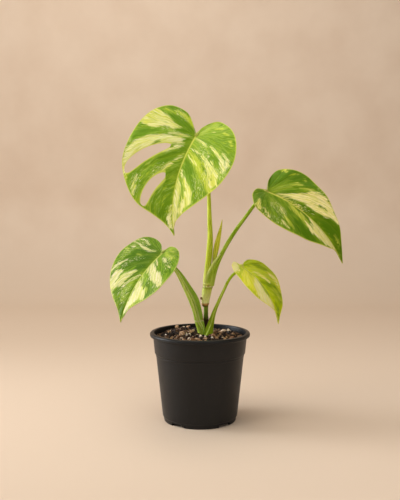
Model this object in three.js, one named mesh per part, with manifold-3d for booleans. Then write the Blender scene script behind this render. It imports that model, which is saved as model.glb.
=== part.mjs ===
// A young variegated monstera growing in a black plastic nursery pot.
// Millimetres, +Z up, the front towards -Y, origin at the centre of the pot's base.
import * as THREE from "three";
import { mergeVertices } from "three/addons/utils/BufferGeometryUtils.js";
import Module from "manifold-3d";

const wasm = await Module();
wasm.setup();

const GAP = 0.3; // left between two pieces that touch
const WELD = 1e-3; // points nearer than this are one point

// The pot: one thin moulding with a collar, a turned-down lip and a notched foot ring.
const POT = {
  height: 105,
  wall: 1.5,
  footRadius: 42.7,
  footTopRadius: 43.5,
  footHeight: 5,
  bodyBottomRadius: 44.5,
  bodyTopRadius: 52.1,
  bodyTop: 77,
  stepRadius: 52.5,
  collarBottom: 80.5,
  collarBottomRadius: 53.7,
  collarTopRadius: 55.7,
  lipBottom: 100.3,
  lipRadius: 59.3,
  lipSkirt: 1.4,
  lipRounding: 2,
  lipChamfer: 0.7,
  discRadius: 25,
  ringInnerRadius: 27,
  ringOuterRadius: 39,
  ringHeight: 4,
  drainHoles: 8,
  drainHoleRadius: 3.5,
  drainCircle: 33,
  notchAngles: [-127, -48, 54, 131],
  notchWidth: 17,
  notchHeight: 3.2,
  segments: 56,
};

// The potting mix: a low mound of coir with bark chips and perlite standing out of it.
const MIX = {
  edgeHeight: 95.5,
  middleHeight: 98.5,
  roughness: 0.8,
  segments: 36,
  barkChips: 74,
  perliteBits: 26,
  reach: 48, // how far out from the middle the chips lie
  moundRadius: 54,
  stemsAt: [6, -4],
  clearOfStems: 11,
  seed: 7,
};

// The main stem from its root end upwards, as [x, y, z, radius].
const STEM = [
  [7, 0, 70, 2.6],
  [7, 0, 100, 2.9],
  [7, 0, 122, 2.9],
  [7, 0, 135, 3],
  [6.5, 0, 137, 4.2],
  [6.5, 0, 141, 4.7],
  [7.5, 0, 150, 5.6],
  [9, 0, 158, 5.9],
  [9.7, 0, 161, 6.4],
  [9.8, 0, 163, 5.8],
];
const ROOT_NUB = { at: [1.6, -1.6, 145], radius: 1.7 };

// Dry brown husk left round the stem by an old leaf base.
const HUSK = { radius: 4.4, thickness: 0.8, bottom: 103, top: 119, teeth: 7, toothHeight: 4.5, wrap: 300 };

// Petioles as [x, y, z, radius, wrap, groove]. Wrap is how far the round back reaches to each
// side, in degrees, and groove the depth of the channel as a share of the radius. Each channel
// faces the way that facing says, and each top end meets its leaf.
const PETIOLES = {
  top: {
    facing: [1, 0.4, 0],
    rows: [
      [7.2, 0, 163.5, 3.9, 165, 0.1],
      [8, 0, 173, 3.7, 165, 0.1],
      [10, 0, 188, 3.8, 165, 0.15],
      [11.3, 0, 202, 3.8, 165, 0.15],
      [12, 1, 214, 3.4, 165, 0.15],
      [11.6, 2, 232, 2.9, 165, 0.15],
      [11, 4, 249, 2.5, 165, 0.15],
      [10.5, 6, 266, 2.3, 165, 0.15],
      [9, 7, 285, 2.2, 165, 0.15],
      [6, 3, 303, 2.1, 165, 0.15],
      [2, -7, 319, 2.1, 165, 0.15],
      [-3, -19, 329.5, 2.2, 165, 0.15],
    ],
  },
  right: {
    facing: [-0.9, 0.4, 0.3],
    rows: [
      [12, -0.5, 160.5, 4.8, 110, 0.7],
      [13.3, -0.5, 168, 4.9, 110, 0.75],
      [15.6, -0.5, 178, 4.9, 105, 0.75],
      [19.6, -0.5, 188, 4.4, 105, 0.7],
      [26, 0, 200, 3.4, 105, 0.6],
      [34.6, 1, 214, 2.7, 130, 0.3],
      [43.9, 3, 227.5, 2.3, 155, 0.2],
      [54, 5, 241, 2.1, 165, 0.15],
      [65.2, 5.5, 256, 2, 165, 0.15],
      [73, 3.5, 265, 2, 165, 0.15],
    ],
  },
  low_left: {
    facing: [0.6, -0.65, 0.35],
    rows: [
      [3.5, -3, 95, 4.6, 150, 0.2],
      [1.2, -5, 110, 5, 150, 0.2],
      [-0.8, -6, 118.5, 5.6, 120, 0.4],
      [-2.6, -7, 130, 6, 105, 0.7],
      [-6.9, -8, 144, 6.6, 105, 0.7],
      [-14.2, -10, 158, 5.4, 105, 0.65],
      [-22.3, -12, 172, 3.9, 110, 0.5],
      [-29.3, -14, 182, 2.4, 130, 0.4],
      [-36.6, -17, 191.5, 2, 160, 0.2],
    ],
  },
  low_right: {
    facing: [-0.8, -0.45, 0.5],
    rows: [
      [8.8, -8, 95, 5.6, 150, 0.2],
      [9.6, -8.5, 103, 5.7, 140, 0.3],
      [12, -10, 116, 4.5, 110, 0.6],
      [16, -12, 130, 3, 105, 0.65],
      [21.8, -13.5, 144, 2.3, 105, 0.6],
      [28, -15, 157, 1.8, 130, 0.4],
      [33, -17, 167.5, 1.7, 160, 0.2],
      [39, -20, 175.5, 1.7, 165, 0.15],
    ],
  },
};

// The new leaf, still rolled into a spike, as petiole rows.
const NEW_LEAF = {
  facing: [-0.3, -1, 0.1],
  rows: [
    [16, 1.5, 182, 2, 165, 0.2],
    [17, 1.5, 191, 2.5, 165, 0.2],
    [18.4, 1.5, 200, 3.2, 165, 0.3],
    [20, 1.5, 208, 3.3, 165, 0.35],
    [22.6, 1.5, 220, 2.4, 165, 0.3],
    [24.8, 1.5, 230, 1.2, 165, 0.2],
    [26.2, 1.5, 238, 0.35, 165, 0.1],
  ],
};

// Leaf blades. Heading, pitch and roll (degrees) aim the flat blade from its junction with the
// petiole. Droop and lobeLift bend the midrib down to the tip and up behind the junction, fold
// raises each half, and curl rolls its margin down again. Sweep moves the tip sideways (mm).
// Each outline runs from the notch round the lobe to the tip, as [along midrib, away from it].
// Slits open the right half beside a vein, at that share of the margin's length.
const BLADES = {
  top: {
    junction: [-4.4, -30, 333.4],
    heading: -123.3,
    pitch: 45.4,
    roll: -23,
    length: 123.4,
    droop: 33.2,
    lobeLift: 13,
    sweep: -22.2,
    slits: [
      { at: 0.667, halfWidth: 0.0413 },
      { at: 0.834, halfWidth: 0.0228 },
    ],
    right: {
      fold: 26.6,
      curl: 19.4,
      outline: [
        [0, 0], [-10.5, 9.5], [-23.5, 23], [-23, 41.5], [-6.5, 55], [17, 64], [44.5, 65],
        [69.5, 63], [89.5, 53.5], [103.5, 40.5], [109.5, 22], [115.5, 8], [123.4, 0],
      ],
    },
    left: {
      fold: 16.3,
      curl: 19.5,
      outline: [
        [0, 0], [-14.5, 4], [-27, 17], [-20, 33], [-4.5, 46.5], [14, 54.5], [35.5, 57],
        [54, 52.5], [69.5, 42], [88, 25.5], [101, 10.5], [111, 2.5], [123.4, 0],
      ],
    },
  },
  right: {
    junction: [78.8, 0, 271.3],
    heading: -30.3,
    pitch: 19.5,
    roll: 32.6,
    length: 126,
    droop: 52.8,
    lobeLift: 14,
    sweep: 8.4,
    slits: [],
    right: {
      fold: 22.4,
      curl: 33.3,
      outline: [
        [0, 0], [-10, 3], [-9.5, 17], [-2, 30], [12, 45], [37.5, 49],
        [55.5, 47.5], [72, 38.5], [87.5, 26], [98, 16.5], [108.5, 2.5], [126, 0],
      ],
    },
    left: {
      fold: 25.6,
      curl: 31.4,
      outline: [
        [0, 0], [-1.5, 4], [-6.5, 16.5], [-5.5, 35], [9, 42], [29.5, 45],
        [47, 39], [67, 32.5], [85, 24], [102.5, 12.5], [116.5, 6], [126, 0],
      ],
    },
  },
  low_left: {
    junction: [-43.7, -25, 200.2],
    heading: -148.2,
    pitch: 36,
    roll: -9.4,
    length: 94,
    droop: 38.1,
    lobeLift: 12,
    sweep: -3.8,
    slits: [],
    right: {
      fold: 19.9,
      curl: 15.1,
      outline: [
        [0, 0], [-4.5, 6], [-9.5, 12], [-12.5, 28.5], [-8, 40.5], [6, 49.5],
        [19.5, 54.5], [39.5, 48], [56, 39.5], [70, 23.5], [81.5, 10], [94, 0],
      ],
    },
    left: {
      fold: 14.9,
      curl: 15.8,
      outline: [
        [0, 0], [-10.5, 1.5], [-12, 12.5], [-9, 24], [-2.5, 36.5], [8.5, 47.5],
        [26, 52.5], [44, 50.5], [56.5, 40], [68.5, 26], [79, 9.5], [94, 0],
      ],
    },
  },
  low_right: {
    junction: [48.9, -25, 185.2],
    heading: -22.3,
    pitch: 28.4,
    roll: 4.4,
    length: 80.6,
    droop: 56.3,
    lobeLift: 14,
    sweep: 0.2,
    slits: [],
    right: {
      fold: 14.1,
      curl: 20,
      outline: [
        [0, 0], [-7, 1.5], [-9.5, 6], [-8.5, 13.5], [-5, 25.5], [4, 39.5], [17, 44],
        [28.5, 46.5], [39.5, 44], [50.5, 31], [61.5, 15.5], [69, 2.5], [80.6, 0],
      ],
    },
    left: {
      fold: 16.4,
      curl: 15.7,
      outline: [
        [0, 0], [-1, 2.5], [-2.5, 7.5], [-3, 22], [3, 30.5], [14.5, 36.5],
        [26, 38], [39, 31], [52, 24], [62.5, 15.5], [71, 7.5], [80.6, 0],
      ],
    },
  },
};
const BLADE = {
  thickness: 0.8,
  midribHeight: 1.3, // how far the midrib stands out below, at the junction
  veinStart: 0.3, // share of the margin whose veins all start at the junction
  veinSpread: 3.3,
  veinBow: 0.126,
  ripple: 1.2, // on a blade of rippleLength, and less on a shorter one
  rippleLength: 123,
  ripples: 4,
  slitStart: 0.274,
  slitEnd: 0.97,
  slitBluntness: 0.35, // nearer 0 is blunter
  junctionInset: 3, // how far along the midrib the petiole meets it
  plainRows: [0, 0.18, 0.38, 0.58, 0.79, 1], // where the grid's rows cross the veins
  slitRows: [0, 0.12, 0.2, 0.274, 0.282, 0.32, 0.41, 0.54, 0.69, 0.83, 0.925, 0.962, 0.97, 1],
};

const COLOURS = {
  pot: 0x1b1c1e,
  mix: 0x4a3324,
  stem: 0x9aa64a,
  husk: 0x3b2717,
  petiole: 0x8fae3a,
  newLeaf: 0xb3b83a,
  blade: 0x6b9a35,
};

const radians = THREE.MathUtils.degToRad;
const vector = (p) => new THREE.Vector3(...p);

// Seeded random numbers from 0 to 1.
function randomSource(seed) {
  let state = seed;
  return () => {
    state = (state * 1664525 + 1013904223) % 4294967296;
    return state / 4294967296;
  };
}

// A closed solid from a geometry whose seams coincide.
function solidOf(geometry) {
  const bare = new THREE.BufferGeometry();
  bare.setAttribute("position", geometry.getAttribute("position"));
  if (geometry.index) bare.setIndex(geometry.index);
  const merged = mergeVertices(bare, WELD);
  const kept = [];
  const index = merged.index.array;
  for (let i = 0; i < index.length; i += 3) {
    const [a, b, c] = [index[i], index[i + 1], index[i + 2]];
    if (a !== b && b !== c && c !== a) kept.push(a, b, c);
  }
  const vertProperties = new Float32Array(merged.attributes.position.array);
  const mesh = new wasm.Mesh({ numProp: 3, vertProperties, triVerts: new Uint32Array(kept) });
  return new wasm.Manifold(mesh);
}

function solidFrom(points, triangles) {
  const geometry = new THREE.BufferGeometry();
  geometry.setAttribute("position", new THREE.Float32BufferAttribute(points.flatMap((p) => p.toArray()), 3));
  geometry.setIndex(triangles.flat());
  return solidOf(geometry);
}

// The largest body of a solid: what a cut leaves loose is dropped.
function largest(solid) {
  return solid.decompose().sort((a, b) => b.volume() - a.volume())[0];
}

function meshOf(solid, name, colour, roughness) {
  const { numProp, vertProperties, triVerts } = solid.getMesh();
  const positions = new Float32Array((vertProperties.length / numProp) * 3);
  for (let i = 0; i < positions.length / 3; i++) {
    positions.set(vertProperties.subarray(i * numProp, i * numProp + 3), i * 3);
  }
  const geometry = new THREE.BufferGeometry();
  geometry.setAttribute("position", new THREE.BufferAttribute(positions, 3));
  geometry.setIndex(new THREE.BufferAttribute(new Uint32Array(triVerts), 1));
  geometry.computeVertexNormals();
  const material = new THREE.MeshStandardMaterial({ color: colour, roughness, metalness: 0 });
  const mesh = new THREE.Mesh(geometry, material);
  mesh.name = name;
  return mesh;
}

// A profile of [radius, height] turned about the Z axis.
function turned(profile, segments) {
  const points = profile.map(([r, z]) => new THREE.Vector2(r, z));
  return new THREE.LatheGeometry(points, segments).rotateX(Math.PI / 2);
}

// The pot's inner wall, from the floor's edge up, as [radius, height].
function potInside() {
  const floorTop = POT.ringHeight + POT.wall;
  return [
    [POT.bodyBottomRadius - POT.wall - 0.4, floorTop],
    [POT.bodyTopRadius - POT.wall, POT.bodyTop],
    [POT.collarBottomRadius - POT.wall, POT.collarBottom],
    [POT.collarTopRadius - POT.wall, POT.lipBottom + 1],
    [POT.collarTopRadius - POT.wall + 0.3, POT.height],
  ];
}

function pot() {
  const skirtInner = POT.lipRadius - POT.lipSkirt;
  const lipUnderside = POT.height - POT.lipSkirt;
  const round = POT.lipRounding;
  const lipEdge = [0, 30, 60, 90].map((a) => [
    POT.lipRadius - round + round * Math.cos(radians(a)),
    POT.height - round + round * Math.sin(radians(a)),
  ]);
  const outside = [
    [0, 0],
    [POT.discRadius, 0],
    [POT.ringInnerRadius, POT.ringHeight],
    [POT.ringOuterRadius, POT.ringHeight],
    [POT.ringOuterRadius + 1.4, 0],
    [POT.footRadius, 0],
    [POT.footTopRadius, POT.footHeight],
    [POT.bodyBottomRadius, POT.footHeight + 1],
    [POT.bodyTopRadius, POT.bodyTop],
    [POT.stepRadius, POT.bodyTop + 0.6],
    [POT.stepRadius, POT.collarBottom - 0.6],
    [POT.collarBottomRadius, POT.collarBottom],
    [POT.collarTopRadius, POT.lipBottom],
    [POT.collarTopRadius + 0.2, lipUnderside],
    [skirtInner, lipUnderside],
    [skirtInner, POT.lipBottom],
    [POT.lipRadius - POT.lipChamfer, POT.lipBottom],
    [POT.lipRadius, POT.lipBottom + POT.lipChamfer],
    ...lipEdge,
  ];
  const inside = [
    ...potInside().reverse(),
    [POT.ringInnerRadius + 0.6, POT.ringHeight + POT.wall],
    [POT.discRadius + 0.6, POT.wall],
    [0, POT.wall],
  ];
  let solid = solidOf(turned([...outside, ...inside], POT.segments));
  for (let i = 0; i < POT.drainHoles; i++) {
    const angle = (i / POT.drainHoles) * 2 * Math.PI + radians(22.5);
    const hole = new THREE.CylinderGeometry(POT.drainHoleRadius, POT.drainHoleRadius, 6, 12);
    hole.rotateX(Math.PI / 2);
    hole.translate(POT.drainCircle * Math.cos(angle), POT.drainCircle * Math.sin(angle), POT.ringHeight + 1);
    solid = solid.subtract(solidOf(hole));
  }
  for (const angle of POT.notchAngles) {
    const notch = new THREE.BoxGeometry(10, POT.notchWidth, POT.notchHeight * 2);
    notch.translate(POT.footRadius, 0, 0);
    notch.rotateZ(radians(angle));
    solid = solid.subtract(solidOf(notch));
  }
  return solid;
}

// Smooth unevenness of the mix's surface, from -1 to 1.
function unevenness(x, y) {
  return (Math.sin(x * 0.31 + 1.3) * Math.cos(y * 0.27 - 0.4) + Math.sin(x * 0.53 - y * 0.47)) / 2;
}

function mixHeight(x, y) {
  const share = Math.min(1, Math.hypot(x, y) / MIX.moundRadius);
  const mound = MIX.middleHeight + (MIX.edgeHeight - MIX.middleHeight) * share * share;
  return mound + MIX.roughness * unevenness(x, y);
}

// One piece of bark or perlite: a box or an eight-sided bead with shaken corners, half sunk.
function chip(random, isBark, x, y) {
  const geometry = isBark ? new THREE.BoxGeometry(1, 1, 1) : new THREE.OctahedronGeometry(0.6, 0);
  const shaken = mergeVertices(
    new THREE.BufferGeometry()
      .setAttribute("position", geometry.getAttribute("position"))
      .setIndex(geometry.index),
    WELD,
  );
  const corners = shaken.getAttribute("position");
  for (let i = 0; i < corners.count; i++) {
    const shake = () => 1 + (random() - 0.5) * 0.5;
    corners.setXYZ(i, corners.getX(i) * shake(), corners.getY(i) * shake(), corners.getZ(i) * shake());
  }
  const long = isBark ? 5 + 5 * random() : 3 + 2 * random();
  shaken.scale(long, long * (0.5 + 0.3 * random()), 2.4 + 2 * random());
  shaken.rotateX((random() - 0.5) * 0.9);
  shaken.rotateY((random() - 0.5) * 0.9);
  shaken.rotateZ(random() * Math.PI);
  shaken.translate(x, y, mixHeight(x, y) + 0.4);
  return solidOf(shaken);
}

function pottingMix(holes) {
  const rimRadius = POT.collarTopRadius - POT.wall - GAP - 0.8;
  const wall = potInside()
    .slice(0, 3)
    .map(([r, z], i) => [r - GAP, i === 0 ? z + GAP : z]);
  const top = [0.86, 0.66, 0.45, 0.22].map((share) => [share * rimRadius, MIX.edgeHeight]);
  const profile = [
    [0, POT.wall + GAP],
    [POT.discRadius, POT.wall + GAP],
    [POT.ringInnerRadius, POT.ringHeight + POT.wall + GAP],
    ...wall,
    [rimRadius, MIX.edgeHeight],
    ...top,
    [0, MIX.edgeHeight],
  ];
  const body = turned(profile, MIX.segments);
  const points = body.getAttribute("position");
  for (let i = 0; i < points.count; i++) {
    if (points.getZ(i) > MIX.edgeHeight - 1) points.setZ(i, mixHeight(points.getX(i), points.getY(i)));
  }
  let solid = solidOf(body);
  const random = randomSource(MIX.seed);
  const placed = [];
  const wanted = MIX.barkChips + MIX.perliteBits;
  const [stemsX, stemsY] = MIX.stemsAt;
  while (placed.length < wanted) {
    const angle = random() * 2 * Math.PI;
    const away = MIX.reach * Math.sqrt(random());
    const [x, y] = [away * Math.cos(angle), away * Math.sin(angle)];
    if (Math.hypot(x - stemsX, y - stemsY) > MIX.clearOfStems) placed.push([x, y]);
  }
  placed.forEach(([x, y], i) => {
    solid = solid.add(chip(random, i < MIX.barkChips, x, y));
  });
  holes.forEach((hole) => {
    solid = solid.subtract(hole);
  });
  return largest(solid);
}

// Outline of a stalk's section: a round back, and a channel between its two rims.
function stalkSection(radius, wrap, groove) {
  const back = 8;
  const channel = 4;
  const outline = [];
  for (let i = 0; i <= back; i++) {
    const angle = radians(wrap) * (-1 + (2 * i) / back);
    outline.push([radius * Math.sin(angle), -radius * Math.cos(angle)]);
  }
  const [rimSide, rimHeight] = outline[back];
  for (let i = 1; i < channel; i++) {
    const share = 1 - (2 * i) / channel;
    outline.push([rimSide * share, rimHeight - groove * radius * (1 - share * share)]);
  }
  return outline;
}

// An outline with every edge moved outwards by extra.
function fattened(outline, extra) {
  const normalOf = ([ax, ay], [bx, by]) => {
    const length = Math.hypot(bx - ax, by - ay);
    return [(by - ay) / length, (ax - bx) / length];
  };
  return outline.map(([x, y], i) => {
    const before = normalOf(outline.at(i - 1), [x, y]);
    const after = normalOf([x, y], outline[(i + 1) % outline.length]);
    const corner = Math.max(0.35, 1 + before[0] * after[0] + before[1] * after[1]);
    return [x + (extra * (before[0] + after[0])) / corner, y + (extra * (before[1] + after[1])) / corner];
  });
}

// A stalk: its sections carried along a smooth path, with the channel turned to facing. Extra
// makes it that much fatter and longer, for cutting its place out of a neighbour.
function stalk({ facing, rows }, extra = 0) {
  const path = new THREE.CatmullRomCurve3(rows.map((row) => vector(row)), false, "centripetal");
  const steps = (rows.length - 1) * 2;
  const rings = [];
  for (let i = 0; i <= steps; i++) {
    const place = (i / steps) * (rows.length - 1);
    const low = Math.min(Math.floor(place), rows.length - 2);
    const [radius, wrap, groove] = [3, 4, 5].map((k) =>
      THREE.MathUtils.lerp(rows[low][k], rows[low + 1][k], place - low),
    );
    const along = path.getTangent(i / steps);
    const up = vector(facing).projectOnPlane(along).normalize();
    const side = new THREE.Vector3().crossVectors(up, along);
    const centre = path.getPoint(i / steps);
    if (i === 0) centre.addScaledVector(along, -extra);
    if (i === steps) centre.addScaledVector(along, extra);
    const ring = fattened(stalkSection(radius, wrap, groove), extra);
    rings.push(ring.map(([a, b]) => centre.clone().addScaledVector(side, a).addScaledVector(up, b)));
  }
  const count = rings[0].length;
  const triangles = [];
  for (let i = 0; i < steps; i++) {
    for (let k = 0; k < count; k++) {
      const next = (k + 1) % count;
      const [a, b] = [i * count + k, i * count + next];
      triangles.push([a, b, b + count], [a, b + count, a + count]);
    }
  }
  const flat = stalkSection(1, rows[0][4], rows[0][5]).map(([a, b]) => new THREE.Vector2(a, b));
  const flatTop = stalkSection(1, rows.at(-1)[4], rows.at(-1)[5]).map(([a, b]) => new THREE.Vector2(a, b));
  THREE.ShapeUtils.triangulateShape(flat, []).forEach(([a, b, c]) => triangles.push([c, b, a]));
  THREE.ShapeUtils.triangulateShape(flatTop, []).forEach((t) => triangles.push(t.map((k) => k + steps * count)));
  return solidFrom(rings.flat(), triangles);
}

function mainStem(extra = 0) {
  const rows = STEM.map((row) => [...row, 165, 0.1]);
  const stem = stalk({ facing: [0, 1, 0], rows }, extra);
  const nub = new THREE.IcosahedronGeometry(ROOT_NUB.radius + extra, 1).translate(...ROOT_NUB.at);
  return stem.add(solidOf(nub));
}

// Thickens an open sheet of triangles downwards into a closed solid: the same triangles on
// both faces, joined round every edge.
function thickened(points, triangles, thicknesses, extra) {
  const normals = points.map(() => new THREE.Vector3());
  const count = new Map();
  for (const [a, b, c] of triangles) {
    const ab = points[b].clone().sub(points[a]);
    const normal = ab.cross(points[c].clone().sub(points[a]));
    [a, b, c].forEach((k) => normals[k].add(normal));
    [[a, b], [b, c], [c, a]].forEach(([p, q]) => count.set(p + " " + q, [p, q]));
  }
  normals.forEach((n) => n.normalize());
  const top = points.map((p, k) => p.clone().addScaledVector(normals[k], extra));
  const bottom = points.map((p, k) => p.clone().addScaledVector(normals[k], -thicknesses[k] - extra));
  const size = points.length;
  const all = [...triangles, ...triangles.map(([a, b, c]) => [c + size, b + size, a + size])];
  for (const [p, q] of count.values()) {
    if (!count.has(q + " " + p)) all.push([p, p + size, q + size], [p, q + size, q]);
  }
  return solidFrom([...top, ...bottom], all);
}

// Axes of a blade at its junction: along the midrib, up from its face, and to its right.
function bladeAxes({ heading, pitch, roll }) {
  const [h, p, r] = [heading, pitch, roll].map(radians);
  const flat = new THREE.Vector3(Math.cos(h), Math.sin(h), 0);
  const upward = new THREE.Vector3(0, 0, 1);
  const along = flat.clone().multiplyScalar(Math.cos(p)).addScaledVector(upward, -Math.sin(p));
  const level = flat.clone().multiplyScalar(Math.sin(p)).addScaledVector(upward, Math.cos(p));
  const across = new THREE.Vector3().crossVectors(along, level);
  const up = level.clone().multiplyScalar(Math.cos(r)).addScaledVector(across, Math.sin(r));
  const right = across.clone().multiplyScalar(Math.cos(r)).addScaledVector(level, -Math.sin(r));
  return { along, up, right };
}

// A point of the bent blade from its flat place. The midrib is one arc towards the tip and
// another behind the junction. A half rises by its fold and curls back down as an arc.
function bladePoint(leaf, half, sign, v, u, rise) {
  const { along, up, right } = bladeAxes(leaf);
  const bend = radians(v > 0 ? leaf.droop : leaf.lobeLift) / leaf.length;
  const angle = bend * v;
  const forward = Math.sin(angle) / bend;
  const down = (1 - Math.cos(angle)) / bend;
  const sweep = leaf.sweep * Math.max(0, v / leaf.length) ** 3;
  const point = vector(leaf.junction)
    .addScaledVector(along, forward)
    .addScaledVector(up, -down)
    .addScaledVector(right, sweep);
  const face = up.clone().multiplyScalar(Math.cos(angle)).addScaledVector(along, Math.sin(angle));
  const curl = radians(half.curl) / (leaf.length / 2);
  const start = radians(-half.fold);
  const out = (Math.sin(start + curl * u) - Math.sin(start)) / curl;
  const drop = (Math.cos(start) - Math.cos(start + curl * u)) / curl;
  return point.addScaledVector(right, sign * out).addScaledVector(face, rise - drop);
}

// The flat place of a point between the midrib and the margin. Along says how far round the
// margin its vein ends, and outward how far out on that vein it lies.
function veinPlace(leaf, margin, along, outward) {
  const end = margin.getPointAt(Math.min(1, Math.max(0, along)));
  const share = Math.max(0, along - BLADE.veinStart) / (1 - BLADE.veinStart);
  const start = leaf.length * share ** BLADE.veinSpread;
  const [dv, du] = [end.x - start, end.y];
  const bow = BLADE.veinBow * share * Math.sin(Math.PI * outward);
  return [start + dv * outward - bow * du, du * outward + bow * dv];
}

// One half of a blade as grids of points between its slits.
function halfGrids(leaf, half, sign) {
  const outline = half.outline.map(([v, u]) => new THREE.Vector3(v, u, 0));
  const margin = new THREE.CatmullRomCurve3(outline, false, "centripetal");
  const isSlit = sign > 0 && leaf.slits.length > 0;
  const rows = isSlit ? BLADE.slitRows : BLADE.plainRows;
  const ripple = BLADE.ripple * (leaf.length / BLADE.rippleLength) ** 2;
  const cuts = [{ at: 0, halfWidth: 0 }, ...leaf.slits, { at: 1, halfWidth: 0 }];
  const opening = (cut, t) => {
    const share = (t - BLADE.slitStart) / (BLADE.slitEnd - BLADE.slitStart);
    const isOpen = isSlit && share > 0 && share < 1;
    return isOpen ? cut.halfWidth * (4 * share * (1 - share)) ** BLADE.slitBluntness : 0;
  };
  const grids = [];
  for (let c = 0; c + 1 < cuts.length; c++) {
    const [from, to] = [cuts[c], cuts[c + 1]];
    const columns = Math.max(3, Math.round((to.at - from.at) * 22));
    const grid = [];
    for (let i = 0; i <= columns; i++) {
      grid.push(
        rows.map((t) => {
          const [low, high] = [from.at + opening(from, t), to.at - opening(to, t)];
          const s = low + ((high - low) * i) / columns;
          const [v, u] = veinPlace(leaf, margin, s, t);
          const rise = ripple * t * t * Math.sin(2 * Math.PI * BLADE.ripples * s);
          const point = bladePoint(leaf, half, sign, v, u, rise);
          const ridge = t === 0 ? BLADE.midribHeight * (1 - v / leaf.length) : 0;
          return { point, thickness: BLADE.thickness + ridge };
        }),
      );
    }
    grids.push(grid);
  }
  return grids;
}

function blade(leaf, extra = 0) {
  const points = [];
  const thicknesses = [];
  const triangles = [];
  const numbers = new Map();
  const numberOf = ({ point, thickness }) => {
    const key = point.toArray().map((x) => Math.round(x / WELD / 5)).join(" ");
    if (!numbers.has(key)) {
      numbers.set(key, points.length);
      points.push(point);
      thicknesses.push(thickness);
    }
    return numbers.get(key);
  };
  const sides = [[leaf.right, 1], [leaf.left, -1]];
  for (const [half, sign] of sides) {
    for (const grid of halfGrids(leaf, half, sign)) {
      for (let i = 0; i + 1 < grid.length; i++) {
        for (let j = 0; j + 1 < grid[i].length; j++) {
          const [a, b, c, d] = [grid[i][j], grid[i][j + 1], grid[i + 1][j + 1], grid[i + 1][j]].map(numberOf);
          const pair = sign > 0 ? [[a, b, c], [a, c, d]] : [[a, c, b], [a, d, c]];
          triangles.push(...pair.filter((t) => new Set(t).size === 3));
        }
      }
    }
  }
  return thickened(points, triangles, thicknesses, extra);
}

// A petiole whose top end is led up to the underside of its leaf.
function petioleFor(key, extra = 0) {
  const { facing, rows } = PETIOLES[key];
  const leaf = BLADES[key];
  const junction = bladePoint(leaf, leaf.right, 1, BLADE.junctionInset, 0, 0);
  const last = rows.at(-1);
  const end = [...junction.toArray(), last[3], last[4], last[5]];
  return stalk({ facing, rows: [...rows, end] }, extra);
}

// The husk: a ragged open ring round the stem.
function husk() {
  const { radius, thickness, bottom, top, teeth, toothHeight, wrap } = HUSK;
  const [x, y] = STEM[1];
  const steps = teeth * 2;
  const points = [];
  const triangles = [];
  for (let i = 0; i <= steps; i++) {
    const angle = radians(-90 - wrap / 2 + (wrap * i) / steps);
    const ragged = top + (i % 2 ? toothHeight * (0.5 + 0.5 * Math.sin(i * 2.1)) : 0);
    [bottom, (bottom + top) / 2, ragged].forEach((z, k) => {
      const away = radius + 0.3 * k;
      points.push(new THREE.Vector3(x + away * Math.cos(angle), y + away * Math.sin(angle), z));
    });
    if (i === steps) break;
    for (const k of [3 * i, 3 * i + 1]) triangles.push([k, k + 3, k + 4], [k, k + 4, k + 1]);
  }
  return thickened(points, triangles, points.map(() => thickness), 0);
}

function buildPlant() {
  const group = new THREE.Group();
  const add = (solid, name, colour, roughness) => group.add(meshOf(solid, name, colour, roughness));
  const stemPlace = mainStem(GAP);
  const places = {};
  const petioles = {};
  for (const key of Object.keys(PETIOLES)) {
    places[key] = petioleFor(key, GAP);
    petioles[key] = petioleFor(key).subtract(blade(BLADES[key], GAP)).subtract(stemPlace);
  }
  petioles.right = petioles.right.subtract(places.top);
  petioles.low_right = petioles.low_right.subtract(places.low_left);
  const newLeaf = stalk(NEW_LEAF).subtract(places.top).subtract(places.right).subtract(stemPlace);
  const huskRing = husk().subtract(places.low_left).subtract(places.low_right);
  const rooted = [stemPlace, places.low_left, places.low_right];

  add(pot(), "pot", COLOURS.pot, 0.5);
  add(pottingMix(rooted), "potting_mix", COLOURS.mix, 0.95);
  add(mainStem(), "main_stem", COLOURS.stem, 0.45);
  add(largest(huskRing), "dry_husk", COLOURS.husk, 0.9);
  for (const key of Object.keys(PETIOLES)) {
    add(largest(petioles[key]), "petiole_" + key, COLOURS.petiole, 0.4);
    add(blade(BLADES[key]), "blade_" + key, COLOURS.blade, 0.4);
  }
  add(largest(newLeaf), "new_leaf", COLOURS.newLeaf, 0.4);
  return group;
}

export default buildPlant();
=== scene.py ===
"""Looks of a young variegated monstera in a black nursery pot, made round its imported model.

Shapes are worked out in millimetres, in the model's own frame: +Z up, the front towards -Y,
origin at the centre of the pot's base. They become metres when a mesh is made.
"""

import bpy
import numpy as np
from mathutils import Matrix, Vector


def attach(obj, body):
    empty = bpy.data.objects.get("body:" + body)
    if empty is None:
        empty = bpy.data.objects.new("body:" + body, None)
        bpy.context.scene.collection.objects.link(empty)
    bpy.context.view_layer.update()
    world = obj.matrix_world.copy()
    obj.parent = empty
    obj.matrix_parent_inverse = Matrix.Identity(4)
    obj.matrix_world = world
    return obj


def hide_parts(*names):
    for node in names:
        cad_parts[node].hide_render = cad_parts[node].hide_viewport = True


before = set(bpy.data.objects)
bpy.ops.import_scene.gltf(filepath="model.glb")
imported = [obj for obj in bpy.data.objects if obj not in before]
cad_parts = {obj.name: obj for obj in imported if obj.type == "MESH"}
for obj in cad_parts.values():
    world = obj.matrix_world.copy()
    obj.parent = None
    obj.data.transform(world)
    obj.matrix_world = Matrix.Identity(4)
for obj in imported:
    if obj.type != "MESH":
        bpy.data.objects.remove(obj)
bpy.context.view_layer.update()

MM = 0.001
SEED = 11

# The camera that took the view: millimetres, degrees, and a full-frame lens.
CAMERA = {"place": (0, -817.5, 255), "down": 3.7, "lens": 50, "sensor": 36}

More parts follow.
